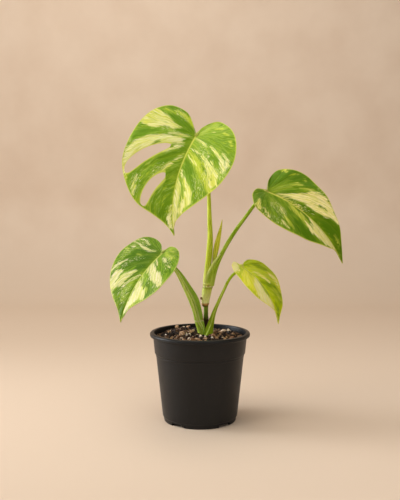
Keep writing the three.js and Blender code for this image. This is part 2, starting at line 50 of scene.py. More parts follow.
# The pot's profile, millimetres.
POT = {
    "height": 105, "wall": 1.5,
    "foot": 42.7, "foot_top": 43.5, "foot_height": 5,
    "body_bottom": 44.5, "body_top": 52.1, "body_height": 77,
    "step": 52.5, "collar_height": 80.5, "collar_bottom": 53.7, "collar_top": 55.7,
    "lip_bottom": 100.3, "lip": 59.3, "lip_skirt": 1.4, "lip_rounding": 2, "lip_chamfer": 0.7,
    "disc": 25, "ring_inner": 27, "ring_outer": 39, "ring_height": 4,
    "drain_holes": 8, "drain_hole": 3.5, "drain_circle": 33,
    "notch_angles": (-127, -48, 54, 131), "notch_width": 17, "notch_height": 3.2,
    "segments": 192, "crisp": 30,
}

# The potting mix: a low mound with smaller ones on it (x, y, height, radius), the profile of its
# body under the rim (radius, height), and fine bumps as crossed sines: height, then the angular
# rate and the phase along x, and the same along y.
MIX = {
    "edge_height": 97.5, "middle_height": 100.3, "mound_radius": 54, "rim_radius": 53.1,
    "sunk": 0.8, "uneven": 0.8, "stems_at": (6, -4), "clear_of_stems": 10,
    "mounds": [(-22, 32, 3.2, 20), (30, 24, 1, 15), (6, -16, 1.5, 14)],
    "below": [(51, 77), (43.5, 6), (38, 5.8), (28, 5.8), (25, 1.8), (0, 1.8)],
    "bumps": [(0.35, 1.1, 0.4, 1.3, 1.9), (0.3, 2.3, 2.2, 1.9, 0.3), (0.2, 3.9, 1, 4.3, 4)],
}

# What lies loose on the mix. Sizes and lift off the mound are in millimetres, flatness is height
# over length, shake is how far a corner may stray, as a share, and the first pieces lie at places
# (x, y). Grit is the mottle's scale to the metre, and crisp the sharpest smooth edge, in degrees.
LOOSE = {
    "bark_chips": {
        "count": 560, "sizes": (2.6, 6), "flatness": (0.4, 0.85), "shake": 0.32, "lift": (-0.8, 2.2),
        "reach": 49.5, "places": [], "crisp": 25,
        "material": "pine_bark_chip", "colours": ("#120904", "#472b19", "#cda277"),
        "roughness": 0.8, "grit": 500,
    },
    "bark_nuggets": {
        "count": 32, "sizes": (5, 9), "flatness": (0.55, 0.85), "shake": 0.3, "lift": (0.6, 2.2),
        "reach": 46, "crisp": 25,
        "places": [(-28, 33), (-15, 40), (-37, 18), (-21, -1), (-27, -19), (-4, -28), (-10, 9), (24, 12)],
        "material": "weathered_bark_nugget", "colours": ("#3c2314", "#8e6440", "#deb792"),
        "roughness": 0.8, "grit": 400,
    },
    "perlite": {
        "count": 34, "sizes": (2.6, 5.2), "flatness": (0.6, 0.9), "shake": 0.28, "lift": (0.8, 2.6),
        "reach": 49.5, "places": [(-40, -5), (-24, 30), (37, 27), (14, -25)], "crisp": 40,
        "material": "expanded_perlite", "colours": ("#dcc3a8", "#f2e0cc", "#fff6ea"),
        "roughness": 0.9, "grit": 900,
    },
    # The crumbs' near-black tones are partly painted shade: they fill the gaps between the chips and
    # stand for the shadow there.
    "coir_crumbs": {
        "count": 3600, "sizes": (0.8, 2.6), "flatness": (0.4, 0.9), "shake": 0.3, "lift": (-0.3, 1),
        "reach": 52, "places": [], "crisp": 25,
        "material": "coir_crumb", "colours": ("#090402", "#26150b", "#7a5335"),
        "roughness": 0.9, "grit": 900,
    },
}
PLACED_SIZE = 1.3  # the placed pieces' length, over the smallest
PLACED_TINT = 0.8

# The main stem from its root end upwards, as (x, y, z, radius), and its colours by height (mm).
STEM = [
    (7, 0, 70, 2.6), (7, 0, 100, 2.9), (7, 0, 122, 2.9), (7, 0, 135, 3), (6.5, 0, 137, 4.2),
    (6.5, 0, 141, 4.7), (7.5, 0, 150, 5.6), (9, 0, 158, 5.9), (9.7, 0, 161, 6.4), (9.8, 0, 163, 5.8),
]
STEM_COLOURS = [
    (100, "#2a1a0f"), (120, "#33220f"), (123.5, "#5a701a"), (134.5, "#7e9e24"), (137, "#7c7030"),
    (138.2, "#c48a52"), (139.6, "#cfa86a"), (141, "#f4f7b0"), (148, "#eef498"), (156, "#d6e268"),
    (158.5, "#a0b034"), (160, "#e6e8a0"), (161.5, "#b0c044"), (164, "#dee87c"), (170, "#dee87c"),
]
STEM_RINGS = [(138.3, 0.25, 0.7), (159.4, 0.3, 0.6), (162, 0.3, 0.6)]  # height, rise, width
RUST_HEIGHT = 160.5
ROOT_NUB = {"at": (1.6, -1.6, 145), "radius": 1.7}
HUSK = {"radius": 4.2, "thickness": 0.6, "bottom": 101, "top": 117, "fibres": 46}

# Petioles as (x, y, z, radius, wrap, groove): the round back reaches wrap degrees to each side,
# and the channel is groove radii deep. The channel turns towards facing.
PETIOLES = {
    "top": {
        "facing": (1, 0.4, 0),
        "rows": [
            (7.2, 0, 163.5, 3.9, 165, 0.1), (8, 0, 173, 3.7, 165, 0.1), (10, 0, 188, 3.8, 165, 0.15),
            (11.3, 0, 202, 3.8, 165, 0.15), (12, 1, 214, 3.4, 165, 0.15), (11.6, 2, 232, 2.9, 165, 0.15),
            (11, 4, 249, 2.5, 165, 0.15), (10.5, 6, 266, 2.3, 165, 0.15), (9, 7, 285, 2.2, 165, 0.15),
            (6, 3, 303, 2.1, 165, 0.15), (2, -7, 319, 2.1, 165, 0.15), (-3, -19, 329.5, 2.2, 165, 0.15),
        ],
    },
    "right": {
        "facing": (-0.9, 0.4, 0.3),
        "rows": [
            (12, -0.5, 160.5, 4.8, 110, 0.7), (13.3, -0.5, 168, 4.9, 110, 0.75),
            (15.6, -0.5, 178, 4.9, 105, 0.75), (19.6, -0.5, 188, 4.4, 105, 0.7),
            (26, 0, 200, 3.4, 105, 0.6), (34.6, 1, 214, 2.7, 130, 0.3), (43.9, 3, 227.5, 2.3, 155, 0.2),
            (54, 5, 241, 2.1, 165, 0.15), (65.2, 5.5, 256, 2, 165, 0.15), (73, 3.5, 265, 2, 165, 0.15),
        ],
    },
    "low_left": {
        "facing": (0.6, -0.65, 0.35), "rolls": 0.75,
        "rows": [
            (3.5, -3, 95, 4.6, 150, 0.2), (1.2, -5, 110, 5, 150, 0.2), (-0.8, -6, 118.5, 5.6, 120, 0.4),
            (-2.6, -7, 130, 6, 105, 0.7), (-6.9, -8, 144, 6.6, 105, 0.7),
            (-14.2, -10, 158, 5.4, 105, 0.65), (-22.3, -12, 172, 3.9, 110, 0.5),
            (-29.3, -14, 182, 2.4, 130, 0.4), (-36.6, -17, 191.5, 2, 160, 0.2),
        ],
    },
    "low_right": {
        "facing": (-0.8, -0.45, 0.5), "rolls": 0.5,
        "rows": [
            (8.8, -8, 95, 5.6, 150, 0.2), (9.6, -8.5, 103, 5.7, 140, 0.3), (12, -10, 116, 4.5, 110, 0.6),
            (16, -12, 130, 3, 105, 0.65), (21.8, -13.5, 144, 2.3, 105, 0.6),
            (28, -15, 157, 1.8, 130, 0.4), (33, -17, 167.5, 1.7, 160, 0.2),
            (39, -20, 175.5, 1.7, 165, 0.15),
        ],
    },
}
# Stalk skins, sRGB, with the numbers that stalk_material names.
STALK_SKINS = {
    "top": {"light": "#dae454", "deep": "#a6b812", "base": "#dee67c", "rim": "#e6ea98"},
    "right": {"light": "#b9d24a", "deep": "#7da00c", "base": "#c4d460", "rim": "#e0e698"},
    # The lower left stalk's far colour is painted shade on the strand of its channel beside the first
    # rim.
    "low_left": {"light": "#c2da54", "deep": "#769a08", "base": "#cbdc5e", "rim": "#e6ea94",
                 "inside": "#eeeda4", "crease": 0.16, "scar": 119, "edge": "#9a6a3a", "far": "#90b83c"},
    # The lower right stalk's inside colour is partly the paler skin of its channel and partly painted
    # light: the floor facing the lamps is laid paler than the back.
    "low_right": {"light": "#bcd830", "deep": "#86a808", "base": "#98c028", "rim": "#ccd868",
                  "inside": "#b8cc44", "crease": 0.5},
    "sheath": {"light": "#bed24a", "deep": "#80a20c", "base": "#ced964", "rim": "#e8ea96",
               "rim_width": 5},
    "spike": {"light": "#e6e45a", "deep": "#c4c828", "base": "#cfd85c", "rim": "#f2ec96"},
}
TORN_SHEATH = "#a87d45"
SCAR_RING = "#d8cf9a"
OPEN_WRAP = 150  # a stalk whose back wraps less than this has an open channel with bare rims
NO_RIM = 20  # the distance from a rim, in mm, that stands for there being none
NEW_LEAF = {
    "facing": (-0.3, -1, 0.1),
    "rows": [
        (16, 1.5, 182, 2, 165, 0.2), (17, 1.5, 191, 2.5, 165, 0.2), (18.4, 1.5, 200, 3.2, 165, 0.3),
        (20, 1.5, 208, 3.3, 165, 0.35), (22.6, 1.5, 220, 2.4, 165, 0.3), (24.8, 1.5, 230, 1.2, 165, 0.2),
        (26.2, 1.5, 238, 0.35, 165, 0.1),
    ],
}

# The sheath's wing on the right petiole: where it springs from, and its free edge (x, y, z).
SHEATH = {
    "root": [(12.5, -4.6, 161), (13.8, -4.6, 170), (16.2, -4.4, 179), (20, -3.6, 187.5),
             (24.6, -2.6, 197)],
    "edge": [(4.4, -3.4, 163.5), (6.6, -4.1, 171), (10.4, -4.6, 179.5), (15.2, -4.2, 188),
             (23.4, -3, 197.5)],
    "bow": 0.9, "thickness": 0.45,
}

# Leaf blades. Heading, pitch and roll (degrees) aim the flat blade from its junction. Droop and
# lobe_lift bend the midrib, fold raises each half, and curl rolls its margin down. Sweep moves
# the tip sideways (mm). Outlines run from the notch to the tip, as (along midrib, away from it).
BLADES = {
    "top": {
        "junction": (-4.4, -30, 333.4), "heading": -123.3, "pitch": 45.4, "roll": -23, "length": 123.4,
        "droop": 33.2, "lobe_lift": 13, "sweep": -22.2, "veins": 10,
        "slits": [(0.667, 0.0413), (0.834, 0.0228)],
        "fold": {1: 26.6, -1: 16.3}, "curl": {1: 19.4, -1: 19.5},
        "outline": {
            1: [(0, 0), (-10.5, 9.5), (-23.5, 23), (-23, 41.5), (-6.5, 55), (17, 64), (44.5, 65),
                (69.5, 63), (89.5, 53.5), (103.5, 40.5), (109.5, 22), (115.5, 8), (123.4, 0)],
            -1: [(0, 0), (-14.5, 4), (-27, 17), (-20, 33), (-4.5, 46.5), (14, 54.5), (35.5, 57),
                 (54, 52.5), (69.5, 42), (88, 25.5), (101, 10.5), (111, 2.5), (123.4, 0)],
        },
    },
    "right": {
        "junction": (78.8, 0, 271.3), "heading": -30.3, "pitch": 19.5, "roll": 32.6, "length": 126,
        "droop": 52.8, "lobe_lift": 14, "sweep": 8.4, "veins": 10, "slits": [],
        "fold": {1: 22.4, -1: 25.6}, "curl": {1: 33.3, -1: 31.4},
        "outline": {
            1: [(0, 0), (-10, 3), (-9.5, 17), (-2, 30), (12, 45), (37.5, 49),
                (55.5, 47.5), (72, 38.5), (87.5, 26), (98, 16.5), (108.5, 2.5), (126, 0)],
            -1: [(0, 0), (-1.5, 4), (-6.5, 16.5), (-5.5, 35), (9, 42), (29.5, 45),
                 (47, 39), (67, 32.5), (85, 24), (102.5, 12.5), (116.5, 6), (126, 0)],
        },
    },
    "low_left": {
        "junction": (-43.7, -25, 200.2), "heading": -148.2, "pitch": 36, "roll": -9.4, "length": 94,
        "droop": 38.1, "lobe_lift": 12, "sweep": -3.8, "veins": 8, "slits": [],
        "fold": {1: 19.9, -1: 14.9}, "curl": {1: 15.1, -1: 15.8},
        "outline": {
            1: [(0, 0), (-4.5, 6), (-9.5, 12), (-12.5, 28.5), (-8, 40.5), (6, 49.5),
                (19.5, 54.5), (39.5, 48), (56, 39.5), (70, 23.5), (81.5, 10), (94, 0)],
            -1: [(0, 0), (-10.5, 1.5), (-12, 12.5), (-9, 24), (-2.5, 36.5), (8.5, 47.5),
                 (26, 52.5), (44, 50.5), (56.5, 40), (68.5, 26), (79, 9.5), (94, 0)],
        },
    },
    "low_right": {
        "junction": (48.9, -25, 185.2), "heading": -22.3, "pitch": 28.4, "roll": 4.4, "length": 80.6,
        "droop": 56.3, "lobe_lift": 14, "sweep": 0.2, "veins": 7, "slits": [],
        "fold": {1: 14.1, -1: 16.4}, "curl": {1: 20, -1: 15.7},
        "outline": {
            1: [(0, 0), (-7, 1.5), (-9.5, 6), (-8.5, 13.5), (-5, 25.5), (4, 39.5), (17, 44),
                (28.5, 46.5), (39.5, 44), (50.5, 31), (61.5, 15.5), (69, 2.5), (80.6, 0)],
            -1: [(0, 0), (-1, 2.5), (-2.5, 7.5), (-3, 22), (3, 30.5), (14.5, 36.5),
                 (26, 38), (39, 31), (52, 24), (62.5, 15.5), (71, 7.5), (80.6, 0)],
        },
    },
}
BLADE = {
    "thickness": 0.75, "edge_thickness": 0.5, "edge_reach": 3, "midrib_height": 1.3, "midrib_width": 1.1,
    "vein_height": 0.3, "vein_start": 0.3, "vein_spread": 3.3, "vein_bow": 0.126,
    "ripple": 1.2, "ripple_length": 123, "ripples": 4, "sunk": 0.3,
    "slit_start": 0.274, "slit_end": 0.97, "slit_bluntness": 0.35, "slit_rows": (0, 0.001, 0.003, 0.008),
    "junction_inset": 3, "stalk_end": -0.9, "stalk_above": 0.1,
    "columns": 200, "rows": 60, "trim": 0.994, "halves_apart": 40,
}

# Variegation. Each marking is a kind and a chain of (along midrib, away from it, half width) in
# millimetres on the flat blade, away being positive on its right half. A green marking clears
# what the ones before it painted, and a shade clears it and is dark. A few markings stand in part
# for light: some pale ones are painted sheen and some dark ones partly painted shade, as noted at them.
MARKINGS = {
    "top": [
        # Partly painted shade: this dark band lies along the lobe's fold behind the sinus, darker partly
        # for the leaf's own green and partly for the fold's shade.
        ("dark", (-2, 3, 3), (-7, 14, 5), (-8, 26, 6), (-6, 38, 3)),
        ("dark", (-19, 20, 2.5), (-22, 31, 3), (-19, 42, 3)),
        # Partly painted shade: this dark band lies along the lobe's fold in front of the sinus.
        ("dark", (1, 6, 4), (4, 16, 4), (6, 26, 1.5)),
        ("lime", (-8, 6, 1.5), (-13, 13, 3.5), (-17, 23, 3), (-18, 33, 2)),
        ("lime", (-14, 30, 0.6), (-14, 38, 0.8), (-13, 46, 1)),
        ("yellow", (1.5, 19, 0.6), (4, 29, 4.5), (2.5, 40, 8.5), (5, 50, 12.5), (8, 58, 9)),
        ("cream", (5, 28, 0.8), (10, 41, 1.5), (15, 52, 2)),
        ("cream", (6, 3, 0.4), (8, 10, 0.8), (12, 20, 1.1), (16, 28, 0.8)),
        ("cream", (15, 10, 2.2), (18, 15, 4.2), (22, 24, 5), (27, 34, 5), (35, 44, 6.5), (46, 52, 7.5),
         (58, 58, 6), (70, 60.5, 4), (77, 60, 3)),
        ("cream", (20, 7, 0.8), (27, 14, 1.8), (34, 19, 1.3), (40, 25, 0.5)),
        ("shade", (6, 3, 1.5), (11, 6, 2.6), (16, 9, 1.8)),
        ("shade", (13, 34, 0.8), (18, 41, 2.6), (23, 50, 4.6), (30, 57, 4.2), (38, 61, 2.2)),
        ("green", (7.5, 16, 0.4), (10, 27, 0.9), (13, 38, 1)),
        ("shade", (30.5, 32, 1), (34, 36, 1.5), (37, 38.5, 0.6)),
        ("dark", (24, 3, 2), (34, 9, 3), (46, 20, 4), (58, 30, 3)),
        ("dark", (55, 3, 2.5), (62, 9, 3), (75, 13, 2)),
        ("dark", (98, 10, 2), (107, 14, 3)),
        ("yellow", (30, 2.5, 0.5), (42, 8.5, 1.1), (50, 12.5, 1.5), (56, 16.5, 1.7), (60, 19.5, 0.9)),
        ("yellow", (76, 44, 0.8), (84, 46, 0.9), (92, 47, 0.6)),
        ("yellow", (78, 56, 1.4), (84, 55, 1.1)),
        ("yellow", (88, 44, 0.5), (96, 45, 0.9)),
        ("cream", (92, 1.5, 1.2), (100, 3, 2.2), (108, 4, 3), (115, 3, 2.5)),
        # Painted sheen: this grey-green patch by the sinus stands for the gloss catching the light.
        ("pale", (-4, -6, 3), (-13, -10, 5), (-20, -16, 4)),
        ("pale", (-15, -20, 3), (-16, -27, 3)),
        ("lime", (-14, -19, 1.4), (-15, -26, 1.6)),
        ("cream", (-8, -17, 0.7), (-8, -20, 0.6)),
        ("lime", (-8, -32, 1.2), (-6, -37, 1)),
        ("lime", (3, -43, 1.4), (8, -47, 1.4)),
        ("cream", (4.5, -2, 0.6), (8, -8, 1.1), (12.5, -15, 1.3), (16, -21, 0.6)),
        ("cream", (14.5, -24, 0.6), (19, -31, 1.7), (24, -37, 2.1), (28, -42, 1.8)),
        ("cream", (21, -42, 0.8), (27, -49, 2), (34, -52, 2.5), (44, -49, 2)),
        ("cream", (25, -40, 1.6), (31, -45, 2.4), (38, -48, 2.4)),
        ("cream", (21, -3, 0.5), (24, -10, 0.7), (27, -16, 0.5)),
        ("cream", (34, -32, 0.8), (37, -36, 1.1)),
        ("lime", (25, -2, 1.5), (33, -12, 4.5), (41, -22, 6), (50, -30, 7.5), (58, -38, 7.5),
         (66, -40, 4)),
        ("yellow", (30, -20, 0.8), (35, -27, 2.4), (42, -34, 4.4), (50, -40, 6.6), (58, -42, 5.6)),
        ("yellow", (30, -3, 0.6), (37, -10, 1.3), (41, -17, 0.9)),
        ("shade", (26.5, -10, 1), (31, -17, 1.7), (36, -22, 1)),
        ("shade", (40, -24, 1), (45, -28, 2), (49, -32, 1.2)),
        ("dark", (34, -2, 2), (44, -8, 5), (52, -13, 4)),
        ("green", (38, -3, 1.5), (46, -8, 4.2), (52, -11, 3)),
        ("dark", (56, -14, 2), (63, -19, 3.2), (68, -21, 2)),
        ("green", (56, -14, 1.5), (63, -19, 2.8), (68, -21, 2)),
        ("yellow", (50, -1.5, 0.6), (57, -6, 1.2), (62, -10, 2), (68, -13, 3.5), (76, -17, 5.5),
         (84, -17, 5.5), (91, -12, 4), (98, -8, 3)),
        ("cream", (62, -1.5, 1.2), (72, -4, 3), (82, -4, 4), (92, -4, 4), (102, -3, 3.5), (113, -2, 3)),
        ("green", (66, -6, 1), (72, -9, 2), (80, -11, 1.8)),
        ("fleck", (44, 60, 6), (56, 62, 4)),
        ("fleck", (36, -50, 8), (48, -48, 7)),
        ("fleck", (20, -14, 6), (34, -28, 8), (54, -34, 8)),
        ("fleck", (54, 20, 5), (66, 26, 5)),
        ("fleck", (78, 44, 7), (92, 44, 6)),
        ("fleck", (62, -26, 8), (76, -30, 6)),
        ("fleck", (-18, 30, 7), (-12, 20, 4)),
        ("fleck", (9, 20, 3), (12, 36, 4)),
    ],
    "right": [
        ("dark", (-4, -8, 5), (-1, -22, 10), (6, -34, 11), (18, -38, 9), (30, -37, 7), (42, -33, 4)),
        # Painted sheen: this grey-green patch stands for a facet of the blade reflecting the light.
        ("pale", (5, -4, 2), (12, -12, 3.5), (19, -18, 2.5)),
        ("lime", (-1, -36, 0.9), (3, -38, 1.6), (5, -35, 0.6)),
        ("lime", (12, -33, 0.5), (15, -37, 0.9), (18, -40, 0.6)),
        ("lime", (29, -38, 0.8), (31, -36, 0.5)),
        ("lime", (20, -21, 0.8), (25, -26, 2), (29, -29, 1)),
        ("lime", (31, -23, 1), (38, -27, 1.4), (45, -29, 1.4)),
        ("cream", (13, -3, 0.5), (22, -5.5, 1.8), (31, -10, 3.5), (40, -14.5, 6), (50, -19.5, 10),
         (60, -21.5, 11.5), (70, -21.5, 9), (79, -22, 4.5), (87, -21, 2.5)),
        ("yellow", (42, -27, 1), (50, -30, 1.6), (60, -31, 1.2)),
        ("lime", (50, -12, 0.7), (58, -12, 1.2), (66, -15, 1.2)),
        ("green", (60, -19, 0.7), (66, -21.5, 1.2), (70, -22, 0.6)),
        ("dark", (26, -3.5, 1), (38, -5, 2), (50, -5, 2.4), (60, -7, 2)),
        ("green", (26, -3.5, 1.2), (38, -5, 2.2), (50, -4.5, 2.6), (60, -5, 2.6)),
        ("yellow", (12, -1.2, 0.5), (30, -2, 0.6), (48, -2, 0.6)),
        ("dark", (66, -3, 2), (76, -9, 6), (88, -10, 8), (100, -8, 5.5), (112, -4, 4)),
        ("lime", (96, -7, 0.8), (103, -7, 1.4), (108, -6, 0.8)),
        ("dark", (-4, 6, 3), (0, 16, 4), (6, 24, 3)),
        ("yellow", (5, 27, 1), (7, 32, 1.8), (9.5, 38, 2.8), (14, 42, 2.2)),
        # Painted sheen: these two grey-green patches stand for the gloss on the half of the blade that
        # faces up.
        ("pale", (14, 14, 2), (20, 20, 4.5), (24, 25, 3)),
        ("pale", (26, 18, 1.5), (33, 24, 3.5), (38, 30, 2)),
        ("cream", (30, 22, 0.8), (34, 26, 1.2), (38, 29, 0.6)),
        ("cream", (18, 38, 0.5), (23, 42, 0.9), (28, 46, 0.6)),
        ("lime", (38, 31, 1), (44, 34, 2.6), (51, 38, 2.2), (56, 40, 0.8)),
        ("cream", (42, 40, 0.5), (48, 43, 0.8), (52, 44, 0.6)),
        ("lime", (34, 4, 2), (42, 10, 4), (50, 12, 5), (58, 14, 4), (66, 18, 2)),
        ("dark", (56, 26, 6), (64, 30, 7), (74, 29, 6), (82, 27, 2.5)),
        ("cream", (57, 2, 1), (66, 4, 2.5), (74, 9, 7.5), (80, 12, 10), (88, 10, 9.5), (96, 7, 6.5),
         (104, 4, 3.5)),
        ("cream", (60, 15, 0.8), (66, 17.5, 2), (74, 20, 2.5)),
        ("green", (57, 6, 1), (63, 8.5, 1.6), (70, 10.5, 0.8)),
        ("green", (60, 11.5, 0.8), (66, 13, 1), (70, 14, 0.6)),
        ("lime", (104, 2, 2), (112, 2, 3), (120, 1, 2)),
        ("fleck", (24, 24, 8), (36, 30, 8)),
        ("fleck", (22, 44, 5), (46, 43, 5)),
        ("fleck", (50, -36, 5), (60, -34, 4)),
        ("fleck", (30, -4, 3), (60, -5, 3)),
    ],
    "low_left": [
        ("dark", (2, 6, 4), (12, 9, 7), (24, 10, 8), (36, 8, 3)),
        ("dark", (8, 18, 6), (16, 25, 10), (27, 28, 11), (36, 30, 6)),
        ("dark", (-1, 10, 1.5), (0, 18, 2), (2, 28, 1.5)),
        ("cream", (-1, 23, 0.4), (-3.5, 30, 0.9), (-4, 37, 0.9), (-1, 44, 1), (3, 49, 1.2)),
        ("cream", (2, 9, 0.4), (5, 15, 1), (5.5, 22, 1.6), (5, 30, 1.2), (3, 38, 0.7), (4, 46, 0.5)),
        ("cream", (9, 40, 0.8), (10, 44, 0.8)),
        ("lime", (15, 21, 0.6), (15.5, 26, 0.5)),
        ("lime", (15, 45, 1), (16, 50, 1)),
        ("cream", (27, 32, 0.7), (33, 37.5, 1.4), (40, 42.5, 1.5), (46, 44, 1)),
        ("cream", (42, 30, 3), (48, 33, 5), (55, 34, 5.5), (61, 32, 4.5), (67, 28.5, 2.5)),
        ("yellow", (34, 11, 1), (39, 15.5, 3), (46, 20, 4.8), (53, 22, 5.5), (60, 26, 3.2),
         (66, 28, 1.6)),
        ("cream", (36, 2.5, 0.6), (42, 7, 0.9), (47, 10.5, 0.9), (53, 14, 1.1), (59, 15.5, 0.8)),
        ("shade", (34, 8, 1.2), (40, 11, 1.5), (47, 13, 1)),
        ("shade", (57, 14, 1), (60, 19, 1.7), (66, 23.5, 1.5)),
        ("cream", (66, 27, 1.2), (72, 22, 1.4), (78, 14, 1)),
        ("pale", (50, 8, 4), (60, 8, 4.5), (70, 7, 3)),
        ("dark", (76, 4, 2), (84, 3, 2.5)),
        ("pale", (-6, -6, 3), (-10, -14, 4), (-8, -24, 3)),
        ("lime", (-7, -10, 1.5), (-5, -17, 2), (-3, -24, 1.2)),
        ("lime", (-2, -8, 1.5), (2, -16, 2.5), (4, -24, 2), (6, -32, 2)),
        ("lime", (2, -30, 1), (5, -36, 1)),
        ("cream", (8, -15, 0.9), (9, -20, 1.8), (11.5, -25, 2), (13, -28, 0.8)),
        ("cream", (17, -38, 0.6), (17.5, -41, 0.5)),
        ("cream", (10, -2.5, 0.6), (13, -7, 1.1), (16, -12, 1), (19, -18, 0.6)),
        ("cream", (19, -2, 3), (23, -9, 4), (27, -17, 5), (32, -24, 5.5), (33, -32, 6), (36, -40, 5),
         (39, -46, 4)),
        ("yellow", (26, -3, 1.5), (30, -9, 1.5)),
        ("yellow", (34, -3, 1), (39, -9, 1.2), (45, -14, 1)),
        ("cream", (46, -4, 4), (52, -10, 7), (58, -14, 9), (64, -12, 8), (72, -6, 5), (80, -3, 3)),
        ("yellow", (50, -17, 3), (54, -25, 4), (59, -29, 3)),
        ("yellow", (60, -22, 3), (68, -14, 2.5)),
        ("lime", (50, -28, 3), (57, -27, 5), (65, -20, 5), (73, -11, 3)),
        ("yellow", (54, -24, 2.5), (62, -20, 3.5), (70, -11, 2.5)),
        ("pale", (62, -4, 3), (72, -5, 4), (82, -2, 2)),
        ("dark", (44, -24, 1.5), (46, -32, 2.5), (50, -36, 2)),
        ("fleck", (2, 30, 8), (6, 44, 6)),
        ("fleck", (14, 14, 3), (24, 26, 4), (34, 32, 5)),
        ("fleck", (10, 44, 8), (24, 44, 7)),
        ("fleck", (56, 8, 6), (70, 6, 5)),
        ("fleck", (30, 42, 5), (44, 40, 5)),
        ("fleck", (24, -14, 5), (40, -24, 5)),
        ("fleck", (40, -42, 6), (46, -44, 5)),
        ("fleck", (64, 14, 6), (74, 8, 4)),
        ("fleck", (8, -26, 6), (18, -38, 5)),
    ],
    "low_right": [
        ("dark", (0, -4, 1.5), (4, -7, 2), (8, -8, 1)),
        ("dark", (40, -18, 2), (47, -16, 2.5), (55, -14, 2)),
        ("pale", (6, -4, 2.5), (12, -9, 4), (18, -12, 3)),
        ("yellow", (13, -2, 0.9), (20, -8, 2.2), (27, -11.5, 2.6), (33, -13, 1.4)),
        ("dark", (4, -15, 2), (12, -22, 4.5), (20, -27, 3.5)),
        ("lime", (24, -25, 2), (32, -28, 4), (40, -28, 3.5), (48, -24, 2)),
        ("yellow", (27, -24, 1.2), (33, -27, 2.2), (39, -27, 1.4)),
        ("pale", (24, -18, 2), (31, -22, 3), (38, -23, 2)),
        ("dark", (26, -1.5, 2), (34, -7, 4.5), (42, -12, 6.5), (50, -15, 6), (58, -13, 4)),
        ("pale", (40, -9, 1), (48, -14, 2), (56, -14, 2)),
        ("dark", (58, -3, 2), (66, -3.5, 2.5), (74, -2, 2)),
        ("cream", (-9, 5, 3), (-7, 12, 4.5), (-3, 20, 4.5), (1, 28, 4.5), (4, 36, 3.5)),
        ("pale", (4, 4, 3), (8, 12, 3), (12, 18, 2)),
        ("lime", (10, 14, 3), (14, 22, 6), (18, 30, 8), (22, 38, 7.5), (30, 40, 3)),
        ("lime", (20, 14, 4), (26, 24, 6), (32, 34, 6), (38, 38, 3)),
        ("cream", (6, 27, 0.7), (7, 32, 0.8)),
        ("cream", (22, 9, 2), (29, 17, 6), (37, 25, 10), (45, 26, 12.5), (52, 20, 10), (58, 14, 5)),
        ("lime", (50, 6, 2.5), (58, 7, 4), (66, 6, 4), (74, 4, 3)),
        ("dark", (24, 3, 2), (34, 4, 3), (44, 4, 3)),
        ("dark", (72, 2, 2), (76, 6, 1.5)),
    ],
}
KINDS = ("dark", "pale", "lime", "yellow", "cream", "fleck")
CLEARED = ("lime", "yellow", "cream")  # what a green marking or a shade clears
KIND_REACH = 12.0  # how deep in or far out of a marking a place is still told apart, mm

# How the green is marbled, from below: the colour laid over it, the cells of its noise in mm
# across and along the veins, the noise's detail and seed, the values between which the colour
# comes in, and its strength.
GREENS = [
    ("deep", (10, 26), 2, 7, (0.38, 0.62), 1),
    ("pale", (1.3, 18), 3, 3, (0.5, 0.62), 0.6),
    ("lime", (2.4, 11), 3, 15, (0.56, 0.61), 0.5),
    ("deep", (2.2, 13), 3, 17, (0.53, 0.59), 0.75),
]

# Fine flecks, in the same terms, but with the values measured from a limit, which is lower inside
# a fleck marking than outside.
FLECKS = [
    ("cream", (0.8, 4.5), 3, 11, (0, 0.05), 0.8),
    ("deep", (0.9, 6), 3, 19, (0.01, 0.05), 0.75),
]
FLECK_LIMITS = {"outside": 0.71, "inside": 0.56}

# The noises that make the markings' edges ragged: cells across and along the veins (mm), the
# seed, and the share of each.
RAGGED = [((0.6, 6), 9, 0.15), ((1.2, 15), 5, 0.55), ((3.6, 30), 0, 0.3)]

# How each kind of marking lies on the leaf, from the lowest up. Its edge is ragged by this many
# mm and soft over so many, green threads thin it, and its tone drifts towards another's.
KIND_LOOKS = {
    "dark": {"ragged": 26, "soft": 2, "strength": 0.95, "threaded": 0.35, "drift": "deep", "seed": 21},
    "pale": {"ragged": 28, "soft": 2.6, "strength": 0.75, "threaded": 0.5, "drift": "lime", "seed": 31},
    "lime": {"ragged": 22, "soft": 1.2, "strength": 0.9, "threaded": 0.45, "drift": "yellow", "seed": 41},
    "yellow": {"ragged": 17, "soft": 0.6, "strength": 1, "threaded": 0.45, "drift": "cream", "seed": 51},
    "cream": {"ragged": 17, "soft": 0.5, "strength": 1, "threaded": 0.4, "drift": "yellow", "seed": 61},
}

# Leaf colours, sRGB: two greens, and what each kind of marking paints.
LEAF_COLOURS = {
    "top": {"base": "#8aad2a", "deep": "#6d9618", "dark": "#5a8700", "pale": "#b4ca5e",
            "lime": "#bed030", "yellow": "#dee262", "cream": "#f6f4b2"},
    "right": {"base": "#6c8e0a", "deep": "#567c02", "dark": "#4b7200", "pale": "#94a63c",
              "lime": "#a4b426", "yellow": "#dcd662", "cream": "#fcecac"},
    "low_left": {"base": "#688a10", "deep": "#486e08", "dark": "#3c6200", "pale": "#91ab44",
                 "lime": "#9bb030", "yellow": "#c0c464", "cream": "#d8cea8"},
    "low_right": {"base": "#cede12", "deep": "#b4c808", "dark": "#5f8a0c", "pale": "#cad660",
                  "lime": "#eaea16", "yellow": "#f8f272", "cream": "#fff6bc"},
}
LEAF_BACK = "#a9b777"

# The room: a sheet of paper that sweeps up behind, mm.
SWEEP = {"half_width": 2200, "front": -1500, "back": 1200, "bend": 300, "top": 2200}


def linear(code):
    """An sRGB hex colour as linear red, green, blue and full alpha."""
    parts = [int(code[i:i + 2], 16) / 255 for i in (1, 3, 5)]
    return tuple(c / 12.92 if c <= 0.04045 else ((c + 0.055) / 1.055) ** 2.4 for c in parts) + (1,)


